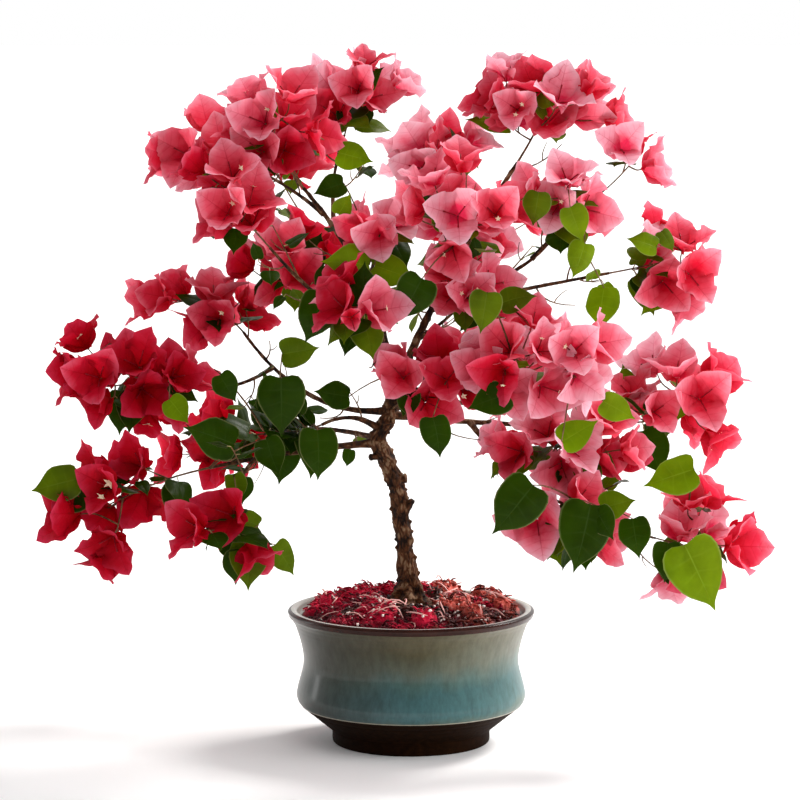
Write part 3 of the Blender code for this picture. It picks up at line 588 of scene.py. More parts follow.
# Plain surfaces: colour, the scale and spread of its noise, and its look
Plain = namedtuple("Plain", "rgb scale spread look")
PLAIN = {
    "stalk": Plain((0.26, 0.21, 0.075), 300.0, 0.3, Look(0.50, 0.5, 0.0002, 0.8)),
    "tube": Plain((0.24, 0.004, 0.012), 300.0, 0.3, Look(0.45, 0.2, 0.0002, 0.8)),
    "star": Plain((0.85, 0.72, 0.50), 300.0, 0.3, Look(0.50, 0.5, 0.0002, 0.8)),
    # The clay is its own dark brown made darker still: painted shade on the pot's low, unglazed foot
    "clay": Plain((0.010, 0.0035, 0.0010), 180.0, 0.45, Look(0.65, 0.03, 0.0005, 0.8)),
    "glaze_edge": Plain((0.26, 0.24, 0.18), 200.0, 0.2, Look(0.30, 0.5, 0.0002, 0.8)),
    "lip": Plain((0.026, 0.007, 0.004), 90.0, 0.35, Look(0.26, 0.2, 0.0002, 0.8)),
    "inside_glaze": Plain((0.40, 0.39, 0.34), 60.0, 0.15, Look(0.22, 0.5, 0.0002, 0.8)),
}
PLAIN_DETAIL = 4.0
PLAIN_LEVELS = (0.30, 0.70)

# Mulch: its colours, and their factors from the painted shade of the crevices up
MULCH_TONES = {
    "crimson": (0.42, 0.006, 0.032),
    "coral": (0.40, 0.070, 0.050),
    "brown": (0.050, 0.012, 0.009),
    "pink": (0.66, 0.36, 0.33),
    "white": (0.68, 0.60, 0.56),
}
MULCH_KINDS = list(MULCH_TONES)
MULCH_STEPS = ((0.10, 0.10), (0.48, 0.52), (0.95, 1.45))
MULCH_GRAIN = Grain(420.0, 5.0)
MULCH_SWING = 0.9
MULCH_LOOK = Look(0.50, 0.16, 0.0008, 0.9)

# Glaze: its colours from the lower edge up to the lip, moved by streaks and clouds, and higher on the right
GLAZE_STOPS = (
    (0.00, (0.055, 0.112, 0.098)),
    (0.06, (0.034, 0.114, 0.122)),
    (0.30, (0.027, 0.098, 0.104)),
    (0.42, (0.038, 0.096, 0.086)),
    (0.55, (0.060, 0.074, 0.046)),
    (0.76, (0.056, 0.048, 0.015)),
    (1.00, (0.095, 0.078, 0.036)),
)
GLAZE_TILT = 1.0
GLAZE_TILT_START = 0.01
GLAZE_STREAKS = Grain(30.0, 5.0, (1, 1, 0.12))
GLAZE_STREAK_SWING = 0.26
GLAZE_CLOUDS = Grain(12.0, 3.0)
GLAZE_CLOUD_SWING = 0.20

# Painted shade makes the glaze dark and dull on the left, and a painted reflection makes it pale at the upper
# right, from side to side in metres; and it is mottled
GLAZE_LEFT_SHADE = (0.036, 0.040, 0.028)
GLAZE_LEFT_SHADE_FADE = Fade(-0.02, -0.09, 0.0, 0.8)
GLAZE_SHADE_DULLING_FADE = Fade(0.06, -0.04, 1.0, 0.68)
GLAZE_REFLECTION = (0.32, 0.32, 0.27)
GLAZE_REFLECTION_FADE = Fade(0.01, 0.10, 0.0, 0.36)
GLAZE_REFLECTION_LEVELS = Fade(0.30, 0.55, 0.35, 1.0)
GLAZE_MOTTLE = Grain(160.0, 5.0, (1, 1, 0.35), 0.7)
GLAZE_MOTTLE_STOPS = ((0.30, (0.74, 0.72, 0.70)), (0.62, (1.05, 1.05, 1.05)))
GLAZE_LOOK = Look(0.42, 0.12, 0.0006, 0.5)
GLAZE_COAT = 0.24
GLAZE_COAT_ROUGHNESS = 0.15

# Camera: the photograph looks at the plant from a little above its middle
CAMERA_PLACE = (-0.011, -3.3384, 0.7285)
CAMERA_PITCH = math.radians(6.6)
CAMERA_SIGHT = 200
LENS = 153
SENSOR = 36

FLOOR_SIZE = 120
FLOOR_SHADE = (0.93, 0.93, 0.93)
FLOOR_ROUGHNESS = 0.9

# Light: a bright backdrop behind and to the right, dimmer from in front, a low soft sun and large soft lamps
BACKDROP_WAY = (0.55, 0.75, 0.45)
BACKDROP_FADE = Fade(-0.7, 0.8, 0.10, 1.05)
SUN_STRENGTH = 4.0
SUN_SPREAD = math.radians(20)
SUN_COLOUR = (1.0, 0.98, 0.95)
SUN_WAY = (0.75, 0.55, 1.0)
Lamp = namedtuple("Lamp", "name place aim size power mirrored")
LAMPS = (
    Lamp("right_softbox", (1.5, -0.3, 0.5), (0, 0, 0.2), (1.2, 1.2), 18, False),
    Lamp("front_fill", (1.2, -2.8, 2.0), (0, 0, 0.4), (2.2, 2.2), 34, False),
    Lamp("left_strip", (-2.74, 1.22, 0.9), (0, 0, 0.1), (0.45, 1.8), 13, True),
)


class Piece:
    """Many small shapes gathered into one mesh, with the CAD nodes that it stands for."""

    def __init__(self, name, slot, finishes):
        self.name, self.slot, self.finishes = name, slot, finishes
        self.points, self.faces, self.places, self.shades, self.finish_of = [], [], [], [], []
        self.nodes = set()

    def add(self, points, faces, places=None, node=None, finish=0, shades=None):
        """Adds a shape. Its finish is one for all its faces, or a list with one for each."""
        start = len(self.points)
        self.points += [tuple(p) for p in points]
        self.faces += [tuple(i + start for i in face) for face in faces]
        self.finish_of += finish if isinstance(finish, list) else [finish] * len(faces)
        self.places += [(MIDDLE, MIDDLE)] * len(points) if places is None else [tuple(p) for p in places]
        self.shades += [MIDDLE] * len(points) if shades is None else list(shades)
        if node:
            self.nodes.add(node)

    def build(self):
        mesh = bpy.data.meshes.new(self.name)
        mesh.from_pydata(np.clip(self.points, *np.array(cad_box)).tolist(), [], self.faces)
        for finish in self.finishes:
            mesh.materials.append(finish)
        mesh.polygons.foreach_set("material_index", self.finish_of)
        corners = np.empty(len(mesh.loops), np.int32)
        mesh.loops.foreach_get("vertex_index", corners)
        layer = mesh.uv_layers.new(name="places")
        layer.uv.foreach_set("vector", np.array(self.places, np.float32)[corners].ravel())
        relief = mesh.attributes.new("relief", "FLOAT", "POINT")
        relief.data.foreach_set("value", np.array(self.shades, np.float32))
        mesh.shade_smooth()
        mesh.update()
        made = in_scene(self.name, mesh)
        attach(made, "root")
        if self.nodes:
            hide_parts(*sorted(self.nodes))


def in_scene(name, data):
    made = bpy.data.objects.new(name, data)
    bpy.context.scene.collection.objects.link(made)
    return made


def put(tree, kind, inputs=(), **settings):
    """Adds a shader node. An input is a value, or another node's output to link."""
    made = tree.nodes.new("ShaderNode" + kind)
    for key, value in settings.items():
        setattr(made, key, value)
    for key, value in dict(inputs).items():
        if isinstance(value, bpy.types.NodeSocket):
            tree.links.new(value, made.inputs[key])
        else:
            made.inputs[key].default_value = value
    return made


def new_material(name):
    made = bpy.data.materials.new(name)
    made.use_nodes = True
    return made, made.node_tree, made.node_tree.nodes["Principled BSDF"]


def colour(rgb):
    return (*rgb, 1.0)


def scaled(rgb, factor):
    return tuple(min(1.0, c * factor) for c in rgb)


def tinted(rgb, factors):
    return tuple(c * factor for c, factor in zip(rgb, factors))


def maths(tree, operation, a, b=0.0, c=0.0):
    return put(tree, "Math", {0: a, 1: b, 2: c}, operation=operation).outputs[0]


def plus(tree, a, b):
    return maths(tree, "ADD", a, b)


def times(tree, a, b):
    return maths(tree, "MULTIPLY", a, b)


def sloped(tree, value, slope, start):
    return maths(tree, "MULTIPLY_ADD", value, slope, start)


def above_zero(tree, value):
    return maths(tree, "MAXIMUM", value, 0.0)


def swung(tree, level, value, swing):
    """The level, moved down or up as a value goes from 0 to 1."""
    return plus(tree, level, sloped(tree, value, swing, -swing / 2))


def fade(tree, value, run):
    names = ("Value", "From Min", "From Max", "To Min", "To Max")
    return put(tree, "MapRange", zip(names, (value, *run))).outputs[0]


def blend(tree, factor, a, b, how="MIX"):
    return put(tree, "Mix", {0: factor, 6: a, 7: b}, data_type="RGBA", blend_type=how).outputs[2]


def ramp(tree, value, stops):
    """A colour for each value, given as (value, colour) stops."""
    made = put(tree, "ValToRGB", {"Fac": value})
    stops, steps = list(stops), made.color_ramp.elements
    while len(steps) < len(stops):
        steps.new(MIDDLE)
    for step, (at, rgb) in zip(steps, stops):
        step.position = at
        step.color = colour(rgb)
    return made.outputs["Color"]


def shades_of(tree, value, rgb, steps):
    """Shades of one colour, given as (value, factor) steps."""
    return ramp(tree, value, [(at, scaled(rgb, factor)) for at, factor in steps])


def grain(tree, kind):
    """Noise in the object's own space, stretched along its axes."""
    place = put(tree, "TexCoord").outputs["Object"]
    mapped = put(tree, "Mapping", {"Vector": place, "Scale": kind.stretch}).outputs["Vector"]
    inputs = {"Vector": mapped, "Scale": kind.scale, "Detail": kind.detail, "Roughness": kind.roughness}
    return put(tree, "TexNoise", inputs).outputs["Fac"]


def dress(tree, shader, tint, height, look):
    """Gives a surface its colour, roughness, gloss and fine relief."""
    relief = put(tree, "Bump", {"Height": height, "Distance": look.depth, "Strength": look.strength})
    tree.links.new(tint, shader.inputs["Base Color"])
    tree.links.new(relief.outputs["Normal"], shader.inputs["Normal"])
    shader.inputs["Roughness"].default_value = look.roughness
    shader.inputs["Specular IOR Level"].default_value = look.gloss


def dress_sheet(tree, shader, veins, tint, light, kind):
    """A bract's or leaf's surface, with sunk veins and fine creases, that lets some light through."""
    creases = grain(tree, Grain(kind.creases, CREASE_DETAIL))
    height = maths(tree, "SUBTRACT", times(tree, creases, kind.crease_share), veins)
    dress(tree, shader, tint, height, kind.look)
    through = put(tree, "BsdfTranslucent", {"Color": light})
    mixed = put(tree, "MixShader", {0: kind.through, 1: shader.outputs[0], 2: through.outputs[0]})
    tree.links.new(mixed.outputs[0], tree.nodes["Material Output"].inputs["Surface"])


def vein_pattern(tree, pairs, side_veins):
    """How near a point is to the midrib or a side vein, from 0 to 1, and its places along and aside."""
    place = put(tree, "UVMap", uv_map="places").outputs["UV"]
    parts = put(tree, "SeparateXYZ", {0: place})
    along = parts.outputs["Y"]
    aside = maths(tree, "ABSOLUTE", sloped(tree, parts.outputs["X"], 2.0, -1.0))
    midrib = above_zero(tree, sloped(tree, aside, -MIDRIB_SHARPNESS, 1.0))
    row = maths(tree, "FRACT", sloped(tree, along, float(pairs), MIDDLE))
    off = maths(tree, "ABSOLUTE", plus(tree, row, -MIDDLE))
    side = above_zero(tree, sloped(tree, off, -VEIN_SHARPNESS, 1.0))
    side = times(tree, side, sloped(tree, aside, -VEIN_FADE, 1.0))
    return maths(tree, "MAXIMUM", midrib, times(tree, side, side_veins)), along, aside


def bract_material(tone, rgb, edge):
    """Papery and thin: deep at its base and along its veins, paler to its edge and in soft patches; the deep
    base is partly painted shade and the pale edge partly painted light.
    """
    made, tree, shader = new_material("bract_" + tone)
    veins, along, aside = vein_pattern(tree, BRACT_SHEET.veins, BRACT.side_veins)
    level = sloped(tree, along, PALE_ALONG, PALE_START)
    level = plus(tree, level, times(tree, times(tree, aside, aside), PALE_ASIDE))
    level = swung(tree, level, grain(tree, BRACT_PATCHES), PATCH_SWING)
    deep = tinted(rgb, BRACT_DEEPENING)
    body = ramp(tree, level, zip(BRACT_LEVELS, (deep, rgb, edge)))
    tint = blend(tree, times(tree, veins, BRACT.tint), body, colour(scaled(deep, BRACT_VEIN_SHADE)))
    dress_sheet(tree, shader, veins, tint, tint, BRACT)
    return made


def leaf_material(tone, rgb):
    """Smooth, with a slight mottle, a pale midrib and veins, and a pale rim."""
    made, tree, shader = new_material("leaf_" + tone)
    veins, _, aside = vein_pattern(tree, LEAF_SHEET.veins, LEAF.side_veins)
    body = shades_of(tree, grain(tree, LEAF_MOTTLE), rgb, LEAF_MOTTLE_STEPS)
    pale = colour(c * LEAF_VEIN_GAIN + LEAF_VEIN_LIFT for c in rgb)
    tint = blend(tree, times(tree, veins, LEAF.tint), body, pale)
    rim = above_zero(tree, sloped(tree, aside, LEAF_RIM_STEEPNESS, -LEAF_RIM_START))
    tint = blend(tree, times(tree, rim, LEAF_RIM_SHARE), tint, colour(LEAF_RIM))
    dress_sheet(tree, shader, veins, tint, colour(tinted(rgb, LEAF_GLOW)), LEAF)
    return made


def bark_material(name, tones):
    """Dark in its fissures and pale on its ridges: partly its own colour and wear, partly painted shade and
    painted light.
    """
    made, tree, shader = new_material(name)
    relief = put(tree, "Attribute", attribute_name="relief").outputs["Fac"]
    level = sloped(tree, relief, BARK_RELIEF_SHARE, BARK_SHADE_LEVEL)
    level = swung(tree, level, grain(tree, BARK_BLOTCHES), BARK_SWING)
    level = swung(tree, level, grain(tree, BARK_SPECKLE), BARK_SWING)
    dark, brown, pale = tones
    tint = ramp(tree, level, zip(BARK_LEVELS, (dark, brown, scaled(brown, BARK_WORN_AND_LIT), pale)))
    dress(tree, shader, tint, grain(tree, BARK_GRAIN), BARK_LOOK)
    return made


def plain_material(name):
    """One colour, varied by fine noise, with a fine grain."""
    made, tree, shader = new_material(name)
    kind = PLAIN[name]
    value = grain(tree, Grain(kind.scale, PLAIN_DETAIL))
    tint = shades_of(tree, value, kind.rgb, zip(PLAIN_LEVELS, (1 - kind.spread, 1 + kind.spread)))
    dress(tree, shader, tint, value, kind.look)
    return made


def mulch_material(kind, rgb):
    """Shredded and rough, with painted shade darker down between the clumps."""
    made, tree, shader = new_material("mulch_" + kind)
    relief = put(tree, "Attribute", attribute_name="relief").outputs["Fac"]
    crumbly = grain(tree, MULCH_GRAIN)
    tint = shades_of(tree, swung(tree, relief, crumbly, MULCH_SWING), rgb, MULCH_STEPS)
    dress(tree, shader, tint, crumbly, MULCH_LOOK)
    return made


def glaze_material():
    """Taupe above, running down in streaks to teal, over a slightly uneven surface, with painted shade on its
    left and a painted reflection at its upper right.
    """
    made, tree, shader = new_material("pot_glaze")
    place = put(tree, "SeparateXYZ", {0: put(tree, "TexCoord").outputs["Object"]})
    side, height = place.outputs["X"], place.outputs["Z"]
    clouds = grain(tree, GLAZE_CLOUDS)
    level = fade(tree, height, Fade(GLAZE_HEIGHT, POT_HEIGHT))
    level = swung(tree, level, grain(tree, GLAZE_STREAKS), GLAZE_STREAK_SWING)
    level = swung(tree, level, clouds, GLAZE_CLOUD_SWING)
    level = plus(tree, level, sloped(tree, side, -GLAZE_TILT, -GLAZE_TILT_START))
    # Painted shade: darker towards the left, and duller there below
    tint = blend(tree, fade(tree, side, GLAZE_LEFT_SHADE_FADE), ramp(tree, level, GLAZE_STOPS), colour(GLAZE_LEFT_SHADE))
    dull = fade(tree, side, GLAZE_SHADE_DULLING_FADE)
    tint = put(tree, "HueSaturation", {"Saturation": dull, "Color": tint}).outputs[0]
    # Painted reflection: paler towards the upper right
    paler = times(tree, fade(tree, side, GLAZE_REFLECTION_FADE), fade(tree, level, GLAZE_REFLECTION_LEVELS))
    tint = blend(tree, paler, tint, colour(GLAZE_REFLECTION))
    mottle = ramp(tree, grain(tree, GLAZE_MOTTLE), GLAZE_MOTTLE_STOPS)
    dress(tree, shader, blend(tree, 1.0, tint, mottle, "MULTIPLY"), clouds, GLAZE_LOOK)
    shader.inputs["Coat Weight"].default_value = GLAZE_COAT
    shader.inputs["Coat Roughness"].default_value = GLAZE_COAT_ROUGHNESS
    return made


def clear_start():
    for old in ("Cube", "Light", "Camera"):
        if old in bpy.data.objects:
            bpy.data.objects.remove(bpy.data.objects[old])


def smooth_through(knots, steps):
    """Points along a Catmull-Rom curve through the knots, each a tuple of numbers."""
    made = []
    spans = len(knots) - 1
    for step in range(steps + 1):
        place = step * spans / steps
        i = min(int(place), spans - 1)
        around = [knots[min(max(k, 0), spans)] for k in (i - 1, i, i + 1, i + 2)]
        made.append(tuple(between(*values, place - i) for values in zip(*around)))
    return made


def between(before, start, end, after, t):
    """The value at t of the way from start to end, on a cubic that also leans to what is before and after."""
    slope, end_slope = (end - before) / 2, (after - start) / 2
    rise = end - start
    return start + t * (slope + t * (3 * rise - 2 * slope - end_slope + t * (slope + end_slope - 2 * rise)))


def tapered(start, end, steps):
    """Values in even steps from start to end."""
    return [start + step / steps * (end - start) for step in range(steps + 1)]


def curve_points(start, control, tip, steps):
    """Points along a curve from start to tip that the control point pulls aside."""
    start, control, tip = Vector(start), Vector(control), Vector(tip)
    return [(1 - t) ** 2 * start + 2 * t * (1 - t) * control + t**2 * tip for t in tapered(0, 1, steps)]


def square_to(way, pull):
    """The direction square to a way that is nearest to a pull."""
    return (pull - pull.dot(way) * way).normalized()


def turned(way, angle):
    """A direction square to a way, at an angle round it."""
    return Matrix.Rotation(angle, 3, way) @ way.orthogonal().normalized()


def spoke(pair, angle):
    """A direction at an angle from the first of a pair of directions towards the other."""
    return math.cos(angle) * pair[0] + math.sin(angle) * pair[1]


def place_along(path, radii, share):
    """The point, direction and radius at a share of a path's length."""
    lengths = [(b - a).length for a, b in zip(path, path[1:])]
    left = share * sum(lengths)
    for i, length in enumerate(lengths):
        if left <= length or i == len(lengths) - 1:
            t = min(left / length, 1.0)
            ahead = path[i + 1] - path[i]
            return path[i] + t * ahead, ahead.normalized(), radii[i] + t * (radii[i + 1] - radii[i])
        left -= length


def turned_frames(path, first_way=None):
    """A pair of directions across the path at each point, carried along it with no twist."""
    ways = [(b - a).normalized() for a, b in zip(path, path[1:])]
    ways = [first_way or ways[0]] + [(a + b).normalized() for a, b in zip(ways, ways[1:])] + [ways[-1]]
    across = ways[0].orthogonal().normalized()
    frames = []
    for way in ways:
        across = square_to(way, across)
        frames.append((across, way.cross(across)))
    return frames


def wall_faces(rings, sides):
    """Four-sided faces between rings of points."""
    faces = []
    for low in range(0, (rings - 1) * sides, sides):
        for side in range(sides):
            after = (side + 1) % sides
            faces.append((low + side, low + after, low + sides + after, low + sides + side))
    return faces


def tube_faces(rings, sides):
    """The faces of a tube with both ends closed."""
    ends = tuple(reversed(range(sides))), tuple(range((rings - 1) * sides, rings * sides))
    return [ends[0], *wall_faces(rings, sides), ends[1]]


def tube(path, radii, sides):
    """Points and faces of a closed tube along the path."""
    points = []
    for centre, radius, pair in zip(path, radii, turned_frames(path)):
        points += [centre + radius * spoke(pair, math.tau * side / sides) for side in range(sides)]
    return points, tube_faces(len(path), sides)


def trunk_path(steps=TRUNK_STEPS):
    spine = smooth_through(TRUNK_SPINE, steps)
    return [Vector(p[:3]) for p in spine], [p[3] for p in spine]


def limb_paths():
    """The middle line and radii of the trunk and of each bough, by name."""
    paths = {"trunk": trunk_path()}
    for limb in BOUGHS:
        start, _, _ = place_along(*paths[limb.parent], limb.share)
        path = curve_points(start, limb.control, limb.tip, BOUGH_STEPS)
        paths[limb.name] = (path, tapered(limb.start_radius, limb.tip_radius, BOUGH_STEPS))
    return paths


Twig = namedtuple("Twig", "points radii")
Blade = namedtuple("Blade", "kind base along normal length")


def blade_points(blade, thicker=0.0):
    """The points and triangles of a leaf or bract: a kite-shaped rim round one point on each face."""
    width_share, widest, thickness, cup = {
        "bract": (BRACT_WIDTH_SHARE, BRACT_WIDEST_AT, BRACT_THICKNESS, BRACT_CUP),
        "leaf": (LEAF_WIDTH_SHARE, LEAF_WIDEST_AT, LEAF_THICKNESS, LEAF_CUP),
    }[blade.kind]
    half_width = blade.length * width_share / 2
    lift = blade.length * cup
    half = thickness / 2 + thicker
    across = blade.normal.cross(blade.along)
    middle = blade.base + blade.length * widest * blade.along
    points = [
        blade.base,
        middle - half_width * across + lift * blade.normal,
        blade.base + blade.length * blade.along + lift * blade.normal,
        middle + half_width * across + lift * blade.normal,
        middle + half * blade.normal,
        middle - half * blade.normal,
    ]
    faces = []
    for i in range(4):
        after = (i + 1) % 4
        faces += [(i, after, 4), (after, i, 5)]
    return points, faces


def inside(points, mass):
    """Whether all the points lie in the mass's own space."""
    space = [(c, r) for c, r in zip(mass.centre, mass.radii)]
    return all(sum(((p - c) / r) ** 2 for p, (c, r) in zip(point, space)) <= 1.0 for point in points)


def touches(piece, *surfaces):
    own = BVHTree.FromPolygons(*piece)
    return any(surface is not None and own.overlap(surface) for surface in surfaces)


def limb_surface(paths):
    """One search tree for the trunk and all the boughs, a little thicker than they are."""
    limbs = [Twig(*limb) for limb in paths.values()]
    return surface_of([twig_shape(limb, CLEARANCE, 2 * BOUGH_SIDES) for limb in limbs])


def stem_of(mass, paths):
    """The stem that goes on from the bough's tip, or leaves the trunk's side, to the middle of the mass."""
    centre = Vector(mass.centre)
    if mass.name in paths:
        path, radii = paths[mass.name]
        way, size = (path[-1] - path[-2]).normalized(), radii[-1]
        root = path[-1] + GAP * way
    else:
        root, _, _ = place_along(*paths["trunk"], TRUNK_STEM_SHARE)
        way, size = (centre - root).normalized(), TRUNK_STEM_RADIUS
    bend = root + STEM_BEND * (centre - root).length * way
    points = curve_points(root, bend, centre, STEM_POINTS - 1)
    return Twig(points, tapered(size, TWIG_BASE_RADIUS, STEM_POINTS - 1))


def head_axis(centre, mass, rng):
    """Flower heads look outward and up, a little towards the light in front."""
    outward = (centre - CROWN_HEART).normalized()
    local = (centre - Vector(mass.centre)) / max(mass.radii)
    jitter = Vector([rng.uniform(-1, 1) for _ in range(3)])
    pull = OUT_OF_CROWN * outward + OUT_OF_MASS * local + UPWARD * UP + LIGHT_WAY
    return (pull + SCATTER * jitter).normalized()


def head_blades(base, twig, length, opening):
    """The three bracts of a head, round its twig's end, each before one side of the twig."""
    axis = (twig.points[-1] - twig.points[-2]).normalized()
    across = turned_frames(twig.points)[-1][0]
    blades = []
    for i in range(BRACTS_IN_HEAD):
        out = Matrix.Rotation(math.tau * (i + 0.5) / BRACTS_IN_HEAD, 3, axis) @ across
        along = (math.cos(opening) * axis + math.sin(opening) * out).normalized()
        normal = (math.sin(opening) * axis - math.cos(opening) * out).normalized()
        blades.append(Blade("bract", base + ROOT_OFFSET * out, along, normal, length))
    return blades


def twig_to(base, axis, twigs):
    """A twig from the handiest free place on the stem or an earlier twig to just past the head's roots."""
    taken = [twig.points[0] for twig in twigs[1:]]
    best = None
    for twig in twigs:
        for share in TWIG_PLACES:
            node, way, _ = place_along(*twig, share)
            if any((node - other).length < TWIG_SPACING for other in taken):
                continue
            ahead = base - node
            cost = ahead.length * (LENGTH_COST - AHEAD_CREDIT * way.dot(ahead.normalized()))
            if best is None or cost < best[0]:
                best = (cost, node, ahead.length)
    _, node, reach = best
    end = base + 2 * ROOT_OFFSET * axis
    points = curve_points(node, end - TWIG_BEND * reach * axis, end, TWIG_POINTS - 1)
    return Twig(points, tapered(TWIG_BASE_RADIUS, TWIG_TIP_RADIUS, TWIG_POINTS - 1))


def guard(blade, habit):
    """The part of a blade that no other one may cross."""
    return blade_points(blade._replace(length=blade.length * habit.snug), CLEARANCE)


def grow_head(mass, habit, twigs, heads, blocked, wood, rng):
    """A flower head that fits close to the others, as its middle, twig, bracts and their shapes."""
    centre = Vector(mass.centre)
    found = []
    for _ in range(habit.tries):
        length = rng.uniform(*habit.bract_length)
        ball = Vector([rng.gauss(0, 1) for _ in range(3)]).normalized() * rng.random() ** (1 / 3)
        middle = centre + Vector([b * (r - habit.margin) for b, r in zip(ball, mass.radii)])
        axis = head_axis(middle, mass, rng)
        opening = rng.uniform(*BRACT_OPENING)
        base = middle - HEAD_BASE_SHARE * length * axis
        twig = twig_to(base, axis, twigs)
        bracts = head_blades(base, twig, length, opening)
        shapes = [guard(blade, habit) for blade in bracts]
        if not all(inside(points, mass) for points, _ in shapes):
            continue
        if touches(as_one(shapes), *blocked, wood):
            continue
        if habit is COARSE and touches(twig_shape(twig, CLEARANCE), *blocked):
            continue
        room = min([(middle - other).length for other in heads], default=habit.spacing)
        found.append((room, middle, twig, bracts, shapes))
        if len(found) == GOOD_ENOUGH:
            break
    return min(found, key=lambda kind: abs(kind[0] - habit.spacing), default=None)


def grow_leaf(mass, habit, twigs, turn, blocked, rng):
    """A leaf that fits, rooted in a twig, with its shape."""
    centre = Vector(mass.centre)
    for _ in range(habit.tries):
        turn += GOLDEN_ANGLE
        twig = rng.choice(twigs)
        share, length = rng.uniform(*LEAF_PLACES), rng.uniform(*habit.leaf_length)
        start, way, _ = place_along(*twig, share)
        hang = (turned(way, turn) + LEAF_FORWARD * way - rng.uniform(*LEAF_DROOP) * UP).normalized()
        face = (UP + LEAF_OUTWARD * (start - centre) / max(mass.radii) + LIGHT_WAY).normalized()
        leaf = Blade("leaf", start - ROOT_OFFSET * hang, hang, square_to(hang, face), length)
        shape = guard(leaf, habit)
        if not inside(shape[0], mass) or touches(shape, *blocked):
            continue
        wood = surface_of([twig_shape(other) for other in twigs if other is not twig])
        if not touches(shape, wood):
            return leaf, shape
    return None


Growth = namedtuple("Growth", "twigs blades shapes heads")


def grow(mass, habit, heads, leaves, seed, grown, limbs, others):
    """Adds heads and leaves to what has grown of a mass, clear of the surfaces of limbs and others."""
    rng = random.Random(seed)
    twigs, blades, shapes, middles = grown
    for _ in range(heads):
        blocked = (limbs, others, surface_of(shapes))
        wood = surface_of([twig_shape(twig) for twig in twigs[: len(twigs) if habit is COARSE else 1]])
        found = grow_head(mass, habit, twigs, middles, blocked, wood, rng)
        if found:
            _, middle, twig, bracts, new_shapes = found
            middles.append(middle)
            twigs.append(twig)
            blades += bracts
            shapes += new_shapes
    turn = rng.uniform(0, math.tau)
    for _ in range(leaves):
        found = grow_leaf(mass, habit, twigs, turn, (limbs, others, surface_of(shapes)), rng)
        if found:
            blades.append(found[0])
            shapes.append(found[1])
        turn += GOLDEN_ANGLE


def twig_shape(twig, thicker=0.0, sides=TWIG_SIDES):
    return tube(twig.points, [radius + thicker for radius in twig.radii], sides)


def as_one(shapes):
    """Several shapes as one (points, faces) pair."""
    points, faces = [], []
    for some_points, some_faces in shapes:
        faces += [tuple(i + len(points) for i in face) for face in some_faces]
        points += some_points
    return points, faces


def surface_of(shapes):
    """One search tree for several shapes."""
    return BVHTree.FromPolygons(*as_one(shapes)) if shapes else None


def grow_crown(paths):
    """What grows in each mass, by its name: first as the solids have it, then the finer growth among it."""
    limbs = limb_surface(paths)
    grown, before = {}, []
    for mass in MASSES:
        growth = Growth([stem_of(mass, paths)], [], [], [])
        grow(mass, COARSE, mass.heads, mass.leaves, mass.seed, growth, limbs, surface_of(before))
        before += [twig_shape(twig, CLEARANCE) for twig in growth.twigs]
        before += [blade_points(blade, CLEARANCE) for blade in growth.blades]
        grown[mass.name] = growth
    for growth in grown.values():
        growth.shapes[:] = [guard(blade, FINE) for blade in growth.blades]
    coarse = {name: list(growth.shapes) for name, growth in grown.items()}
    for mass in MASSES:
        near = [other.name for other in MASSES if other is not mass and close(mass, other)]
        others = surface_of([shape for name in near for shape in coarse[name]])
        grow(mass, FINE, mass.fine_heads, 0, mass.fine_seed, grown[mass.name], limbs, others)
        grow(mass, FINE, 0, mass.fine_leaves, mass.fine_seed, grown[mass.name], limbs, others)
    return grown


def close(mass, other):
    """Whether the spaces of two masses come near each other."""
    rows = zip(mass.centre, other.centre, mass.radii, other.radii)
    return all(abs(a - b) < r + s for a, b, r, s in rows)


def bent(points, bend, twist):
    """Points of a unit sheet, bent back along its length and twisted about it. Its chord keeps its way."""
    x, y, z = points.T
    turn = bend * y
    size = bend if abs(bend) > LEAST_BEND else LEAST_BEND
    along = np.sin(turn) / size + z * np.sin(turn)
    up = (np.cos(turn) - 1) / size + z * np.cos(turn)
    lean = bend / 2
    along, up = along * math.cos(lean) - up * math.sin(lean), along * math.sin(lean) + up * math.cos(lean)
    angle = twist * y
    side = x * np.cos(angle) - up * np.sin(angle)
    return np.stack([side, along, x * np.sin(angle) + up * np.cos(angle)], 1)


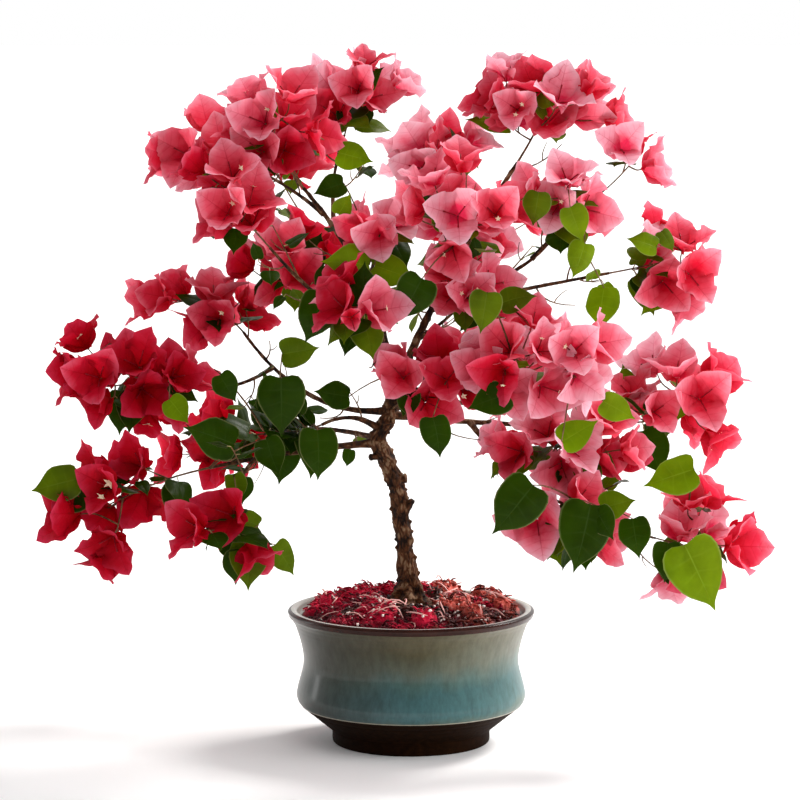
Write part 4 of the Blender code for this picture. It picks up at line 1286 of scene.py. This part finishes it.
def sheet_points(sheet, rng, bend=None):
    """Points, quads and places of a bract or leaf of length 1 along y, with its face to +z."""
    rows, columns = sheet.veins * ROWS_PER_VEIN, sheet.columns
    steps = np.linspace(0, 1, rows + 1)
    steps = steps - ROW_CROWDING * np.sin(math.tau * steps)
    v, u = [grid.ravel() for grid in np.meshgrid(steps, np.linspace(-1, 1, columns + 1), indexing="ij")]
    aside, hand = np.abs(u), np.sign(u)
    margin = v + 2 * sheet.sweep * v * (1 - v)
    phase = rng.uniform(0, math.tau) + 2 * hand
    ripple = np.sin(math.tau * (sheet.waves + hand / 2) * margin + phase)
    share = np.interp(margin, *zip(*sheet.outline))
    x = u * sheet.width / 2 * np.maximum(share, LEAST_WIDTH) * (1 + RIPPLE_OUT * ripple)
    y = v + aside * (margin - v) - sheet.lobe * aside**1.5 * v / LOBE_AT * np.exp(1 - v / LOBE_AT)
    z = rng.uniform(*sheet.cup) * np.abs(x) ** 1.5 + sheet.wave * share * aside**3 * ripple
    z += sheet.wave * share * aside**2 * np.cos(math.tau * sheet.waves * margin + hand)
    z += sheet.pucker * np.sin(np.pi * v * sheet.veins) ** 2 * np.sin(np.pi * aside) * (1 - v * v)
    z -= sheet.rib * np.exp(-((u / RIB_WIDTH) ** 2)) * (1 - v)
    bend = rng.uniform(*sheet.bend) if bend is None else bend
    points = bent(np.stack([x, y, z], 1), bend, rng.uniform(-sheet.twist, sheet.twist))
    firsts = [row * (columns + 1) + column for row in range(rows) for column in range(columns)]
    faces = [(i, i + 1, i + columns + 2, i + columns + 1) for i in firsts]
    return points, faces, np.stack([(u + 1) / 2, v], 1)


def in_place(points, blade, scale):
    """Points of a unit sheet at a blade's place, made smaller where they would leave the solids' box."""
    across = blade.along.cross(blade.normal)
    spread = points @ np.array([across, blade.along, blade.normal])
    placed = np.array(blade.base) + scale * spread
    while (placed < np.array(cad_box[0])).any() or (placed > np.array(cad_box[1])).any():
        scale *= SHRINK
        placed = np.array(blade.base) + scale * spread
    return placed


def tone_of(names, level):
    """The tone at a level, from 0 for the first to one less than their number for the last."""
    names = list(names)
    return names[min(max(int(level), 0), len(names) - 1)]


def add_head(pieces, mass, blades, rng):
    """A flower head: three bracts of one tone, and the slender true flowers on them."""
    # Painted light: higher up and further right, a head takes a paler tone
    height = (blades[0].base.z - TONE_LEVEL) / TONE_LEVEL
    lean = PAINTED_LIGHT_BY_HEIGHT * height + PAINTED_LIGHT_BY_SIDE * blades[0].base.x
    level = TONE_START[mass.tone] + lean + TONE_SPREAD * rng.uniform(-1, 1)
    bracts = pieces["bracts_" + tone_of(BRACT_TONES, level)]
    bend = rng.uniform(*BRACT_SHEET.bend)
    for blade in blades:
        own_bend = bend + rng.uniform(-BEND_SPREAD, BEND_SPREAD)
        points, faces, places = sheet_points(BRACT_SHEET, rng, own_bend)
        scale = blade.length * BRACT_SCALE
        bracts.add(in_place(points, blade, scale), faces, places, "blooms_" + mass.name)
        if rng.random() < TUBES_SHARE:
            add_flower(pieces, blade, scale, own_bend, STAR_RADIUS[mass.tone], rng)


def add_flower(pieces, blade, scale, bend, size, rng):
    """A flower's tube along the bract's midrib, sometimes with its cream star open at the end."""
    spots = np.linspace(*TUBE_SPAN, len(TUBE_RADII))
    line = np.stack([0 * spots, spots, np.full_like(spots, TUBE_LIFT / scale)], 1)
    path = [Vector(p) for p in in_place(bent(line, bend, 0), blade, scale)]
    pieces["flower_tubes"].add(*tube(path, TUBE_RADII, TUBE_SIDES))
    if rng.random() < OPEN_SHARE:
        way = (path[-1] - path[-2]).normalized()
        points, faces = star(path[-1], way, size, rng.uniform(0, math.tau))
        pieces["flower_stars"].add(points, faces)


def star(centre, way, size, turn):
    """An open star of pointed lobes round a centre, facing way."""
    across = way.orthogonal().normalized()
    pair = (across, way.cross(across))
    tips = 2 * STAR_POINTS
    points = [centre]
    for i in range(tips):
        reach = size * (1.0 if i % 2 else STAR_NOTCH)
        points.append(centre + reach * (spoke(pair, turn + math.tau * i / tips) + STAR_CUP * way))
    return points, [(0, 1 + i, 1 + (i + 1) % tips) for i in range(tips)]


def nearest_on(twigs, point):
    """The nearest point to a point on the middle lines of some twigs."""
    return min((spot for twig in twigs for spot in twig.points), key=lambda spot: (spot - point).length)


def add_leaf(pieces, node, blade, wood, rng):
    """A leaf on its petiole, with painted light: lighter towards the top and the right of the crown."""
    side, height = blade.base.x, blade.base.z - TONE_LEVEL
    # Painted light: leaves higher up and further right take brighter tones
    level = LEAF_TONE_START + LEAF_PAINTED_LIGHT_BY_SIDE * side + LEAF_PAINTED_LIGHT_BY_HEIGHT * height
    level += rng.uniform(*LEAF_TONE_SPREAD)
    start = blade.base + PETIOLE_SHARE * blade.length * blade.along
    placed = blade._replace(base=start, length=blade.length * (1 - PETIOLE_SHARE))
    hang_leaf(pieces, node, placed, tone_of(LEAF_TONES, level), wood, rng)


def hang_leaf(pieces, node, blade, tone, wood, rng):
    """A leaf and the stalk that joins it to the nearest wood."""
    points, faces, places = sheet_points(LEAF_SHEET, rng)
    pieces["leaves_" + tone].add(in_place(points, blade, blade.length), faces, places, node)
    root = nearest_on(wood, blade.base)
    reach = (blade.base - root).length
    middle = (root + blade.base) / 2 + STALK_ARCH * reach * UP
    stalk = curve_points(root, middle, blade.base, STALK_STEPS)
    radii = tapered(PETIOLE_RADIUS + STALK_GAIN * reach, PETIOLE_RADIUS, STALK_STEPS)
    pieces["stalks" if reach < LONG_STALK else "twigs"].add(*tube(stalk, radii, STALK_SIDES))


def front_blade(x, y, z, turn, length, rng):
    """A placed leaf as a blade that looks to the front, a little turned."""
    turn = math.radians(turn)
    along = Vector((math.cos(turn), rng.uniform(*FRONT_LEAN), math.sin(turn))).normalized()
    face = FRONT_FACE + Vector((rng.uniform(*FRONT_TURN), 0, rng.uniform(*FRONT_TILT)))
    root = MILLIMETRE * Vector((x, y, z))
    return Blade("leaf", root, along, square_to(along, face), MILLIMETRE * length)


def hang_front_leaves(pieces, wood):
    rng = random.Random(FRONT_SEED)
    for *place, tone in FRONT_LEAVES:
        hang_leaf(pieces, None, front_blade(*place, rng), tone, wood, rng)


def fine_twig(twig, radii=None):
    """A twig's middle line made smooth, with its own radii made finer, or with other ones."""
    line = smooth_through([(*point, radius) for point, radius in zip(*twig)], TWIG_STEPS)
    return Twig([Vector(p[:3]) for p in line], radii or [p[3] * STEM_THINNING for p in line])


def dress_masses(pieces, grown):
    """Fine twigs, flower heads and leaves for all that grows in the masses."""
    all_wood = []
    radii = tapered(TWIG_START_SHARE * TWIG_BASE_RADIUS, TWIG_END_SHARE * TWIG_BASE_RADIUS, TWIG_STEPS)
    for mass in MASSES:
        rng, node = random.Random(mass.seed), "blooms_" + mass.name
        growth = grown[mass.name]
        stem, *twigs = growth.twigs
        wood = [fine_twig(stem)] + [fine_twig(twig, radii) for twig in twigs]
        for twig in wood:
            pieces["twigs"].add(*tube(*twig, TWIG_SIDES_FINE), node=node)
        bracts = [blade for blade in growth.blades if blade.kind == "bract"]
        for i in range(0, len(bracts), BRACTS_IN_HEAD):
            add_head(pieces, mass, bracts[i : i + BRACTS_IN_HEAD], rng)
        for blade in growth.blades:
            if blade.kind == "leaf":
                add_leaf(pieces, node, blade, wood, rng)
        all_wood += wood
    hang_front_leaves(pieces, all_wood)


def dress_boughs(pieces, paths):
    """Side twigs with small leaves along the outer stretch of each bough."""
    rng = random.Random(SIDE_SEED)
    for limb in BOUGHS:
        path, radii = paths[limb.name]
        turn = rng.uniform(0, math.tau)
        count = int(length_of(path) * (1 - SIDE_TWIG_FROM) / SIDE_TWIG_PITCH)
        for i in range(count):
            share = SIDE_TWIG_FROM + (1 - SIDE_TWIG_FROM) * (i + rng.random()) / count
            turn += GOLDEN_ANGLE
            add_side_twig(pieces, place_along(path, radii, min(share, SIDE_TWIG_UNTIL)), turn, rng)


def length_of(path):
    return sum((b - a).length for a, b in zip(path, path[1:]))


def add_side_twig(pieces, spot, turn, rng):
    """A thin curved twig with a fork, and small leaves on some."""
    start, way, _ = spot
    side = turned(way, turn)
    reach = rng.uniform(*SIDE_TWIG_LENGTH)
    tip = start + reach * (side + SIDE_TWIG_AHEAD * way + SIDE_TWIG_RISE * UP).normalized()
    twig = side_line(pieces, start, side + SIDE_TWIG_LEAD * way, tip, SIDE_TWIG_RADIUS)
    point, ahead, size = place_along(*twig, FORK_AT)
    turn += GOLDEN_ANGLE
    out = turned(ahead, turn)
    fork = FORK_LENGTH * reach * rng.uniform(*FORK_SPREAD)
    end = point + fork * (out + ahead + FORK_RISE * UP).normalized()
    side_line(pieces, point, out + FORK_LEAD * ahead, end, size)
    if rng.random() > LEAFY_SHARE:
        return
    for share in SIDE_LEAVES:
        point, ahead, _ = place_along(*twig, share)
        turn += GOLDEN_ANGLE
        out = turned(ahead, turn)
        droop = SIDE_LEAF_DROOP * rng.uniform(*LEAF_DROOP)
        hang = (out + SIDE_LEAF_AHEAD * ahead - droop * UP).normalized()
        normal = square_to(hang, UP + LIGHT_WAY + SIDE_LEAF_OUT * out)
        leaf = Blade("leaf", point, hang, normal, rng.uniform(*SIDE_LEAF_LENGTH))
        add_leaf(pieces, None, leaf, [twig], rng)


def side_line(pieces, start, way, tip, size):
    """A curved twig from start to tip that leaves its parent in a way, thinner to its end."""
    bend = start + SIDE_TWIG_BEND * (tip - start).length * way.normalized()
    radii = tapered(size, SIDE_TWIG_TAPER * size, SIDE_TWIG_STEPS)
    twig = Twig(curve_points(start, bend, tip, SIDE_TWIG_STEPS), radii)
    pieces["twigs"].add(*tube(*twig, STALK_SIDES))
    return twig


def bark_relief(place, along):
    """How high the bark stands at a place round and along a limb, from about 0 in a crack to 1 on a plate."""
    q = Vector((place.x, place.y, along / FISSURE_STRETCH)) / FISSURE_WIDTH
    q += FISSURE_BEND * noise.noise_vector(FISSURE_BEND_SIZE * q)
    near, next_near = noise.voronoi(q)[0][:2]
    plate = PLATE_RISE * min(1.0, PLATE_STEEPNESS * (next_near - near)) ** PLATE_ROUNDING
    flake = min(1.0, FLAKE_STEEPNESS * abs(noise.noise(q * FLAKE_SIZE + FLAKE_PLACE))) - FLAKE_LEVEL
    patch = PATCH_RISE * noise.noise(PATCH_SIZE * q)
    return min(1.0, max(0.0, PLATE_LOW + plate + FLAKE_RISE * flake + patch))


def foot_swell(height, angle):
    """The foot's swelling over its main roots, and the bark's spread where it meets the mulch."""
    above = height - SOIL_TOP
    roots = FLARE_SWELL * max(0.0, 1 - above / FLARE_HEIGHT) * math.cos(FLARE_ROOTS * angle)
    return 1 + roots + BARK_FLARE * math.exp(-max(0.0, above) / BARK_FLARE_HEIGHT)


def bark_tube(piece, path, radii, sides, depth, lump, node, first_way=None, swell=None):
    """A limb with relief: fissures along it, and lumps. swell(height, angle) scales its radius."""
    points, shades = [], []
    along, before = 0.0, path[0]
    for centre, radius, pair in zip(path, radii, turned_frames(path, first_way)):
        along += (centre - before).length
        before = centre
        for side in range(sides):
            angle = math.tau * side / sides
            out = spoke(pair, angle)
            reach = radius * (swell(centre.z, angle) if swell else 1.0)
            height = bark_relief(Vector((math.cos(angle), math.sin(angle), 0)) * reach, along)
            place = centre + reach * out
            bulge = noise.noise(place / LUMP_WIDTH)
            knob = KNOB_HEIGHT * max(0.0, noise.noise(place / KNOB_WIDTH) - KNOB_FROM)
            rise = depth * (height - BARK_LEVEL) + lump * (bulge + knob / LUMP_HEIGHT)
            points.append(place + rise * out)
            # The colour's level: low in the fissures, higher on lumps; partly painted shade and painted light
            shades.append(height + BARK_LUMP_SHADE * bulge)
    piece.add(points, tube_faces(len(path), sides), node=node, shades=shades)


def make_bark(pieces, paths):
    """The trunk with its stubs, and the boughs with collars where they leave their parents."""
    noise.seed_set(BARK_SEED)
    path, radii = trunk_path(TRUNK_ROWS)
    path[0] = path[0] - TRUNK_SINK * UP
    trunk = pieces["trunk_bark"]
    bark_tube(trunk, path, radii, TRUNK_SIDES, FISSURE_DEPTH, LUMP_HEIGHT, "trunk", UP, foot_swell)
    for share, way, length, radius in STUBS:
        start, _, _ = place_along(*paths["trunk"], share)
        out = Vector(way).normalized()
        reaches = tapered(0, length, STUB_STEPS)
        radii = [radius * (STUB_WIDTH + STUB_COLLAR * math.exp(-s / STUB_COLLAR_LENGTH)) for s in reaches]
        radii[-1] *= STUB_END
        line = [start + s * out for s in reaches]
        bark_tube(trunk, line, radii, STUB_SIDES, FISSURE_DEPTH / 2, LUMP_HEIGHT / 2, "trunk")
    for limb in BOUGHS:
        start, _, _ = place_along(*paths[limb.parent], limb.share)
        length = length_of(paths[limb.name][0])
        rows = max(BOUGH_LEAST_ROWS, round(length / BOUGH_ROW))
        sizes = tapered(limb.start_radius, limb.tip_radius, rows)
        reaches = tapered(0, length, rows)
        radii = [r * (1 + COLLAR_SWELL * math.exp(-s / COLLAR_LENGTH)) for r, s in zip(sizes, reaches)]
        depth = FISSURE_DEPTH * BOUGH_DEPTH_SHARE * (THICK_DEPTH if limb.start_radius > THICK_BOUGH else 1)
        line = curve_points(start, limb.control, limb.tip, rows)
        bark_tube(pieces["bough_bark"], line, radii, BOUGH_SIDES_FINE, depth, depth, "bough_" + limb.name)


def between_points(start, end, steps):
    """Points in a straight line after start, up to end."""
    return [tuple(a + (b - a) * i / steps for a, b in zip(start, end)) for i in range(1, steps + 1)]


def pot_profile():
    """The pot's wall, from under its foot up and over to below the mulch: radius, height, finish."""
    knots = (
        (SHOULDER_RADIUS, SHOULDER_HEIGHT),
        (BELLY_RADIUS, BELLY_HEIGHT),
        (WAIST_RADIUS, WAIST_HEIGHT),
        (NECK_RADIUS, NECK_HEIGHT),
        (RIM_RADIUS - LIP_ROUNDING / 2, POT_HEIGHT - LIP_HEIGHT),
    )
    wall = smooth_through(knots, WALL_RINGS)
    flat = FOOT_RADIUS - FOOT_CHAMFER
    clay = [(0, 0), (flat, 0)]
    for turn in tapered(0, math.pi / 2, ROUND_STEPS)[1:]:
        clay.append((flat + FOOT_CHAMFER * math.sin(turn), FOOT_CHAMFER * (1 - math.cos(turn))))
    clay += between_points(clay[-1], (FOOT_RADIUS, FOOT_HEIGHT), ROUND_STEPS)
    clay += between_points(clay[-1], knots[0], 2 * ROUND_STEPS)
    profile = [(*point, CLAY_FINISH) for point in clay]
    for radius, height in wall[1:-2]:
        glazed = height > GLAZE_HEIGHT
        if not glazed:
            finish = CLAY_FINISH
        elif height > POT_HEIGHT - LIP_BAND:
            finish = LIP_FINISH
        else:
            finish = EDGE_FINISH if profile[-1][2] == CLAY_FINISH else GLAZE_FINISH
        profile.append((radius + GLAZE_EDGE * glazed, height, finish))
    half = POT_WALL / 2
    for i, turn in enumerate(tapered(-LIP_START, math.pi, LIP_STEPS)):
        radius = RIM_RADIUS - half + half * math.cos(turn)
        height = POT_HEIGHT - LIP_HEIGHT / 2 * (1 - math.sin(turn))
        profile.append((radius, height, LIP_FINISH if i < LIP_OUTSIDE * LIP_STEPS else INSIDE_FINISH))
    inner = wall[-3 : WALL_RINGS // 2 : -1]
    return profile + [(radius - POT_WALL, height, INSIDE_FINISH) for radius, height in inner]


def make_pot(pieces):
    """The turned pot, a little uneven, as from a potter's hands."""
    profile = pot_profile()
    points = []
    for radius, height, _ in profile:
        ripple = THROWING_RINGS * math.sin(math.tau * height / THROWING_PITCH)
        for step in range(POT_STEPS):
            angle = math.tau * step / POT_STEPS
            x, y = math.cos(angle), math.sin(angle)
            place = Vector((DRIFT_TURNS * x, DRIFT_TURNS * y, height / DRIFT_HEIGHT))
            drift = ripple + POT_DRIFT * noise.noise(place) if radius > 0 and height > 0 else 0
            points.append(((radius + drift) * x, (radius + drift) * y, height))
    finishes = [finish for _, _, finish in profile[:-1] for _ in range(POT_STEPS)]
    pieces["pot_wall"].add(points, wall_faces(len(profile), POT_STEPS), node="pot", finish=finishes)


Clump = namedtuple("Clump", "x y size rise kind")


def spot_on_soil(rng, share):
    """A place on the mulch, anywhere within a share of its reach."""
    radius, angle = SOIL_REACH * share * math.sqrt(rng.random()), rng.uniform(0, math.tau)
    return radius * math.cos(angle), radius * math.sin(angle)


def make_clumps(rng):
    """The clumps, lower by the wall and by the trunk."""
    clumps = []
    for _ in range(CLUMPS):
        x, y = spot_on_soil(rng, CLUMP_REACH)
        size, rise = rng.uniform(*CLUMP_SIZE), rng.uniform(*CLUMP_RISE)
        radius = math.hypot(x, y)
        by_wall = max(WALL_LEAST, min(1.0, (SOIL_REACH - radius) / WALL_SLOPE))
        by_trunk = max(FOOT_LEAST, min(1.0, (radius - FOOT_CLEARING) / FOOT_SLOPE))
        clumps.append(Clump(x, y, size, rise * min(by_wall, by_trunk), mulch_kind(x, y, rng)))
    return clumps


def mulch_kind(x, y, rng):
    """Dark brown round the trunk, coral on the right, and crimson on the left and in front."""
    chance = rng.random()
    if math.dist((x, y), BROWN_CENTRE) < BROWN_REACH:
        return "brown" if chance < BROWN_SHARE else "crimson"
    if x > CORAL_FROM and chance < CORAL_SHARE:
        return "coral"
    return "brown" if chance > STRAY_BROWN else "crimson"


def soil_at(x, y, clumps):
    """The mulch's height, the clump on top there, and how high that clump rises there."""
    rise, top = 0.0, clumps[0]
    for clump in clumps:
        away = ((x - clump.x) ** 2 + (y - clump.y) ** 2) / clump.size**2
        if away < 1 and clump.rise * math.sqrt(1 - away) > rise:
            rise, top = clump.rise * math.sqrt(1 - away), clump
    share = math.hypot(x, y) / SOIL_REACH
    rough = 2 * abs(noise.noise(Vector((x, y, rise)) / CLUMP_GRAIN)) - ROUGH_LEVEL
    rough *= CLUMP_ROUGHNESS * min(1.0, ROUGH_FADE * (1 - share))
    return SOIL_TOP - SOIL_SINK - SOIL_EDGE_DROP * share**3 + rise + rough, top, rise


# Painted shade: darker where the mulch lies low between clumps
def painted_crevice_shade(rise):
    return min(1.0, CREVICE_LIGHT + rise / CREVICE_DEPTH)


def make_mulch(pieces):
    """A round field of small cells raised into clumps, with chips, strands and crumbs on it."""
    rng = random.Random(MULCH_SEED)
    clumps = make_clumps(rng)
    make_soil(pieces["mulch"], clumps)
    for _ in range(CHIPS):
        x, y = spot_on_soil(rng, CHIP_REACH)
        height, clump, rise = soil_at(x, y, clumps)
        kind = clump.kind if rise > 0 and rng.random() < CHIP_OF_CLUMP else mulch_kind(x, y, rng)
        place = Vector((x, y, height + rng.uniform(*CHIP_LIFT)))
        shape = shred(place, rng.uniform(*CHIP_LENGTH), rng.uniform(*CHIP_WIDTH), CHIP_TILT, rng)
        # Painted shade: a chip low in a crevice is darker, on top of its random tone
        lay(pieces["mulch"], shape, kind, painted_crevice_shade(rise) * rng.uniform(*CHIP_SHADE))
    for _ in range(STRANDS):
        x, y = spot_on_soil(rng, STRAND_REACH)
        place = Vector((x, y, soil_at(x, y, clumps)[0] + STRAND_LIFT))
        shape = shred(place, rng.uniform(*STRAND_LENGTH), rng.uniform(*STRAND_WIDTH), STRAND_TILT, rng)
        lay(pieces["mulch"], shape, "pink", PALE_SHADE)
    for _ in range(CRUMBS):
        x, y = spot_on_soil(rng, CRUMB_REACH)
        size = rng.uniform(*CRUMB_SIZE)
        place = Vector((x, y, soil_at(x, y, clumps)[0] + size))
        lay(pieces["mulch"], shred(place, 2 * size, size, CRUMB_TILT, rng), "white", PALE_SHADE)


def make_soil(soil, clumps):
    """The field of cells, each with the colour of the clump at its corner."""
    cells = round(2 * SOIL_REACH / SOIL_CELL)
    sides = [(2 * step / cells - 1) * SOIL_REACH for step in range(cells + 1)]
    points, shades, faces, finishes, index, kinds = [], [], [], [], {}, []
    for row, y in enumerate(sides):
        for column, x in enumerate(sides):
            if math.hypot(x, y) <= SOIL_REACH:
                height, clump, rise = soil_at(x, y, clumps)
                index[row, column] = len(points)
                kinds.append(MULCH_KINDS.index(clump.kind))
                points.append((x, y, height))
                # Painted shade: darker where the cell lies low between clumps
                shades.append(painted_crevice_shade(rise))
    for row, column in index:
        cell = [(row, column), (row, column + 1), (row + 1, column + 1), (row + 1, column)]
        if all(corner in index for corner in cell):
            faces.append([index[corner] for corner in cell])
            finishes.append(kinds[faces[-1][0]])
    soil.add(points, faces, node="root_ball", shades=shades, finish=finishes)


def lay(soil, shape, kind, shade):
    points, faces = shape
    soil.add(points, faces, finish=MULCH_KINDS.index(kind), shades=[shade] * len(points))


def shred(middle, length, width, tilt, rng):
    """A curled shred, thickest at its middle: its points and faces."""
    turn = rng.uniform(0, math.tau)
    way = Vector((math.cos(turn), math.sin(turn), rng.gauss(0, tilt))).normalized()
    side = way.cross(UP).normalized()
    curl, arch = rng.uniform(-SHRED_CURL, SHRED_CURL), rng.uniform(0, SHRED_ARCH) * length
    path, radii = [], []
    for t in tapered(-0.5, 0.5, SHRED_STEPS):
        crown = 1 / 4 - t * t
        path.append(middle + length * (t * way - curl * crown * side) + 4 * arch * crown * UP)
        radii.append(width * (1 / 2 + 2 * crown))
    return tube(path, radii, SHRED_SIDES)


def make_pieces():
    """Every piece of the model, empty, with the name of its material slot, which is not used, and its
    finishes.
    """
    rows = []
    for tone, (slot, rgb, edge) in BRACT_TONES.items():
        rows.append(("bracts_" + tone, slot, [bract_material(tone, rgb, edge)]))
    for tone, rgb in LEAF_TONES.items():
        rows.append(("leaves_" + tone, "leaf_green", [leaf_material(tone, rgb)]))
    bark = bark_material("bark", BARK_TONES)
    clay, edge, lip, inner = [plain_material(name) for name in ("clay", "glaze_edge", "lip", "inside_glaze")]
    rows += [
        ("twigs", "bark", [bark_material("twig_bark", TWIG_TONES)]),
        ("stalks", "leaf_green", [plain_material("stalk")]),
        ("flower_tubes", "bract_crimson", [plain_material("tube")]),
        ("flower_stars", "bract_rose", [plain_material("star")]),
        ("trunk_bark", "bark", [bark]),
        ("bough_bark", "bark", [bark]),
        ("pot_wall", "glazed_pot", [clay, edge, glaze_material(), lip, inner]),
        ("mulch", "mulch", [mulch_material(kind, rgb) for kind, rgb in MULCH_TONES.items()]),
    ]
    return {row[0]: Piece(*row) for row in rows}


def make_camera():
    data = bpy.data.cameras.new("camera")
    data.lens, data.sensor_width, data.clip_end = LENS, SENSOR, CAMERA_SIGHT
    camera = in_scene("camera", data)
    camera.location = CAMERA_PLACE
    camera.rotation_euler = (math.pi / 2 - CAMERA_PITCH, 0, 0)
    bpy.context.scene.camera = camera


def facing(way):
    """The rotation that turns a lamp's back to a way."""
    return Vector(way).to_track_quat("Z", "Y").to_euler()


def make_lamps():
    """The low sun and the soft lamps, of which the mirrored one alone shows in gloss."""
    sun = bpy.data.lights.new("sun", "SUN")
    sun.energy, sun.angle, sun.color = SUN_STRENGTH, SUN_SPREAD, SUN_COLOUR
    in_scene("sun", sun).rotation_euler = facing(SUN_WAY)
    for lamp in LAMPS:
        data = bpy.data.lights.new(lamp.name, "AREA")
        data.shape = "RECTANGLE"
        data.size, data.size_y = lamp.size
        data.energy = lamp.power
        light = in_scene(lamp.name, data)
        light.location = lamp.place
        light.rotation_euler = facing(Vector(lamp.place) - Vector(lamp.aim))
        light.visible_glossy = lamp.mirrored
        light.visible_camera = False


def make_backdrop():
    """A white world, brightest behind and to the right, and plain white to the camera."""
    world = bpy.data.worlds.new("studio")
    world.use_nodes = True
    tree = world.node_tree
    background = tree.nodes["Background"]
    way = put(tree, "TexCoord").outputs["Generated"]
    ahead = Vector(BACKDROP_WAY).normalized()
    towards = put(tree, "VectorMath", {0: way, 1: ahead}, operation="DOT_PRODUCT").outputs["Value"]
    glow = fade(tree, towards, BACKDROP_FADE)
    seen = put(tree, "LightPath").outputs["Is Camera Ray"]
    strength = put(tree, "Mix", {0: seen, 2: glow, 3: 1.0}, data_type="FLOAT").outputs[0]
    tree.links.new(strength, background.inputs["Strength"])
    background.inputs["Color"].default_value = colour((1, 1, 1))
    bpy.context.scene.world = world
    bpy.context.scene.view_settings.view_transform = "Standard"


def make_floor():
    half = FLOOR_SIZE / 2
    mesh = bpy.data.meshes.new("floor")
    points = [(-half, -half, 0), (half, -half, 0), (half, half, 0), (-half, half, 0)]
    mesh.from_pydata(points, [], [(0, 1, 2, 3)])
    made, _, shader = new_material("floor")
    shader.inputs["Base Color"].default_value = colour(FLOOR_SHADE)
    shader.inputs["Roughness"].default_value = FLOOR_ROUGHNESS
    mesh.materials.append(made)
    in_scene("floor", mesh)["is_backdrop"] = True


def corners(box):
    return [list(corner) for corner in box]


def main():
    clear_start()
    make_camera()
    make_lamps()
    make_backdrop()
    make_floor()
    pieces = make_pieces()
    paths = limb_paths()
    make_pot(pieces)
    make_mulch(pieces)
    make_bark(pieces, paths)
    dress_masses(pieces, grow_crown(paths))
    dress_boughs(pieces, paths)
    for piece in pieces.values():
        if piece.points:
            piece.build()


main()
{"cad": corners(cad_box), "visual": corners(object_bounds())}
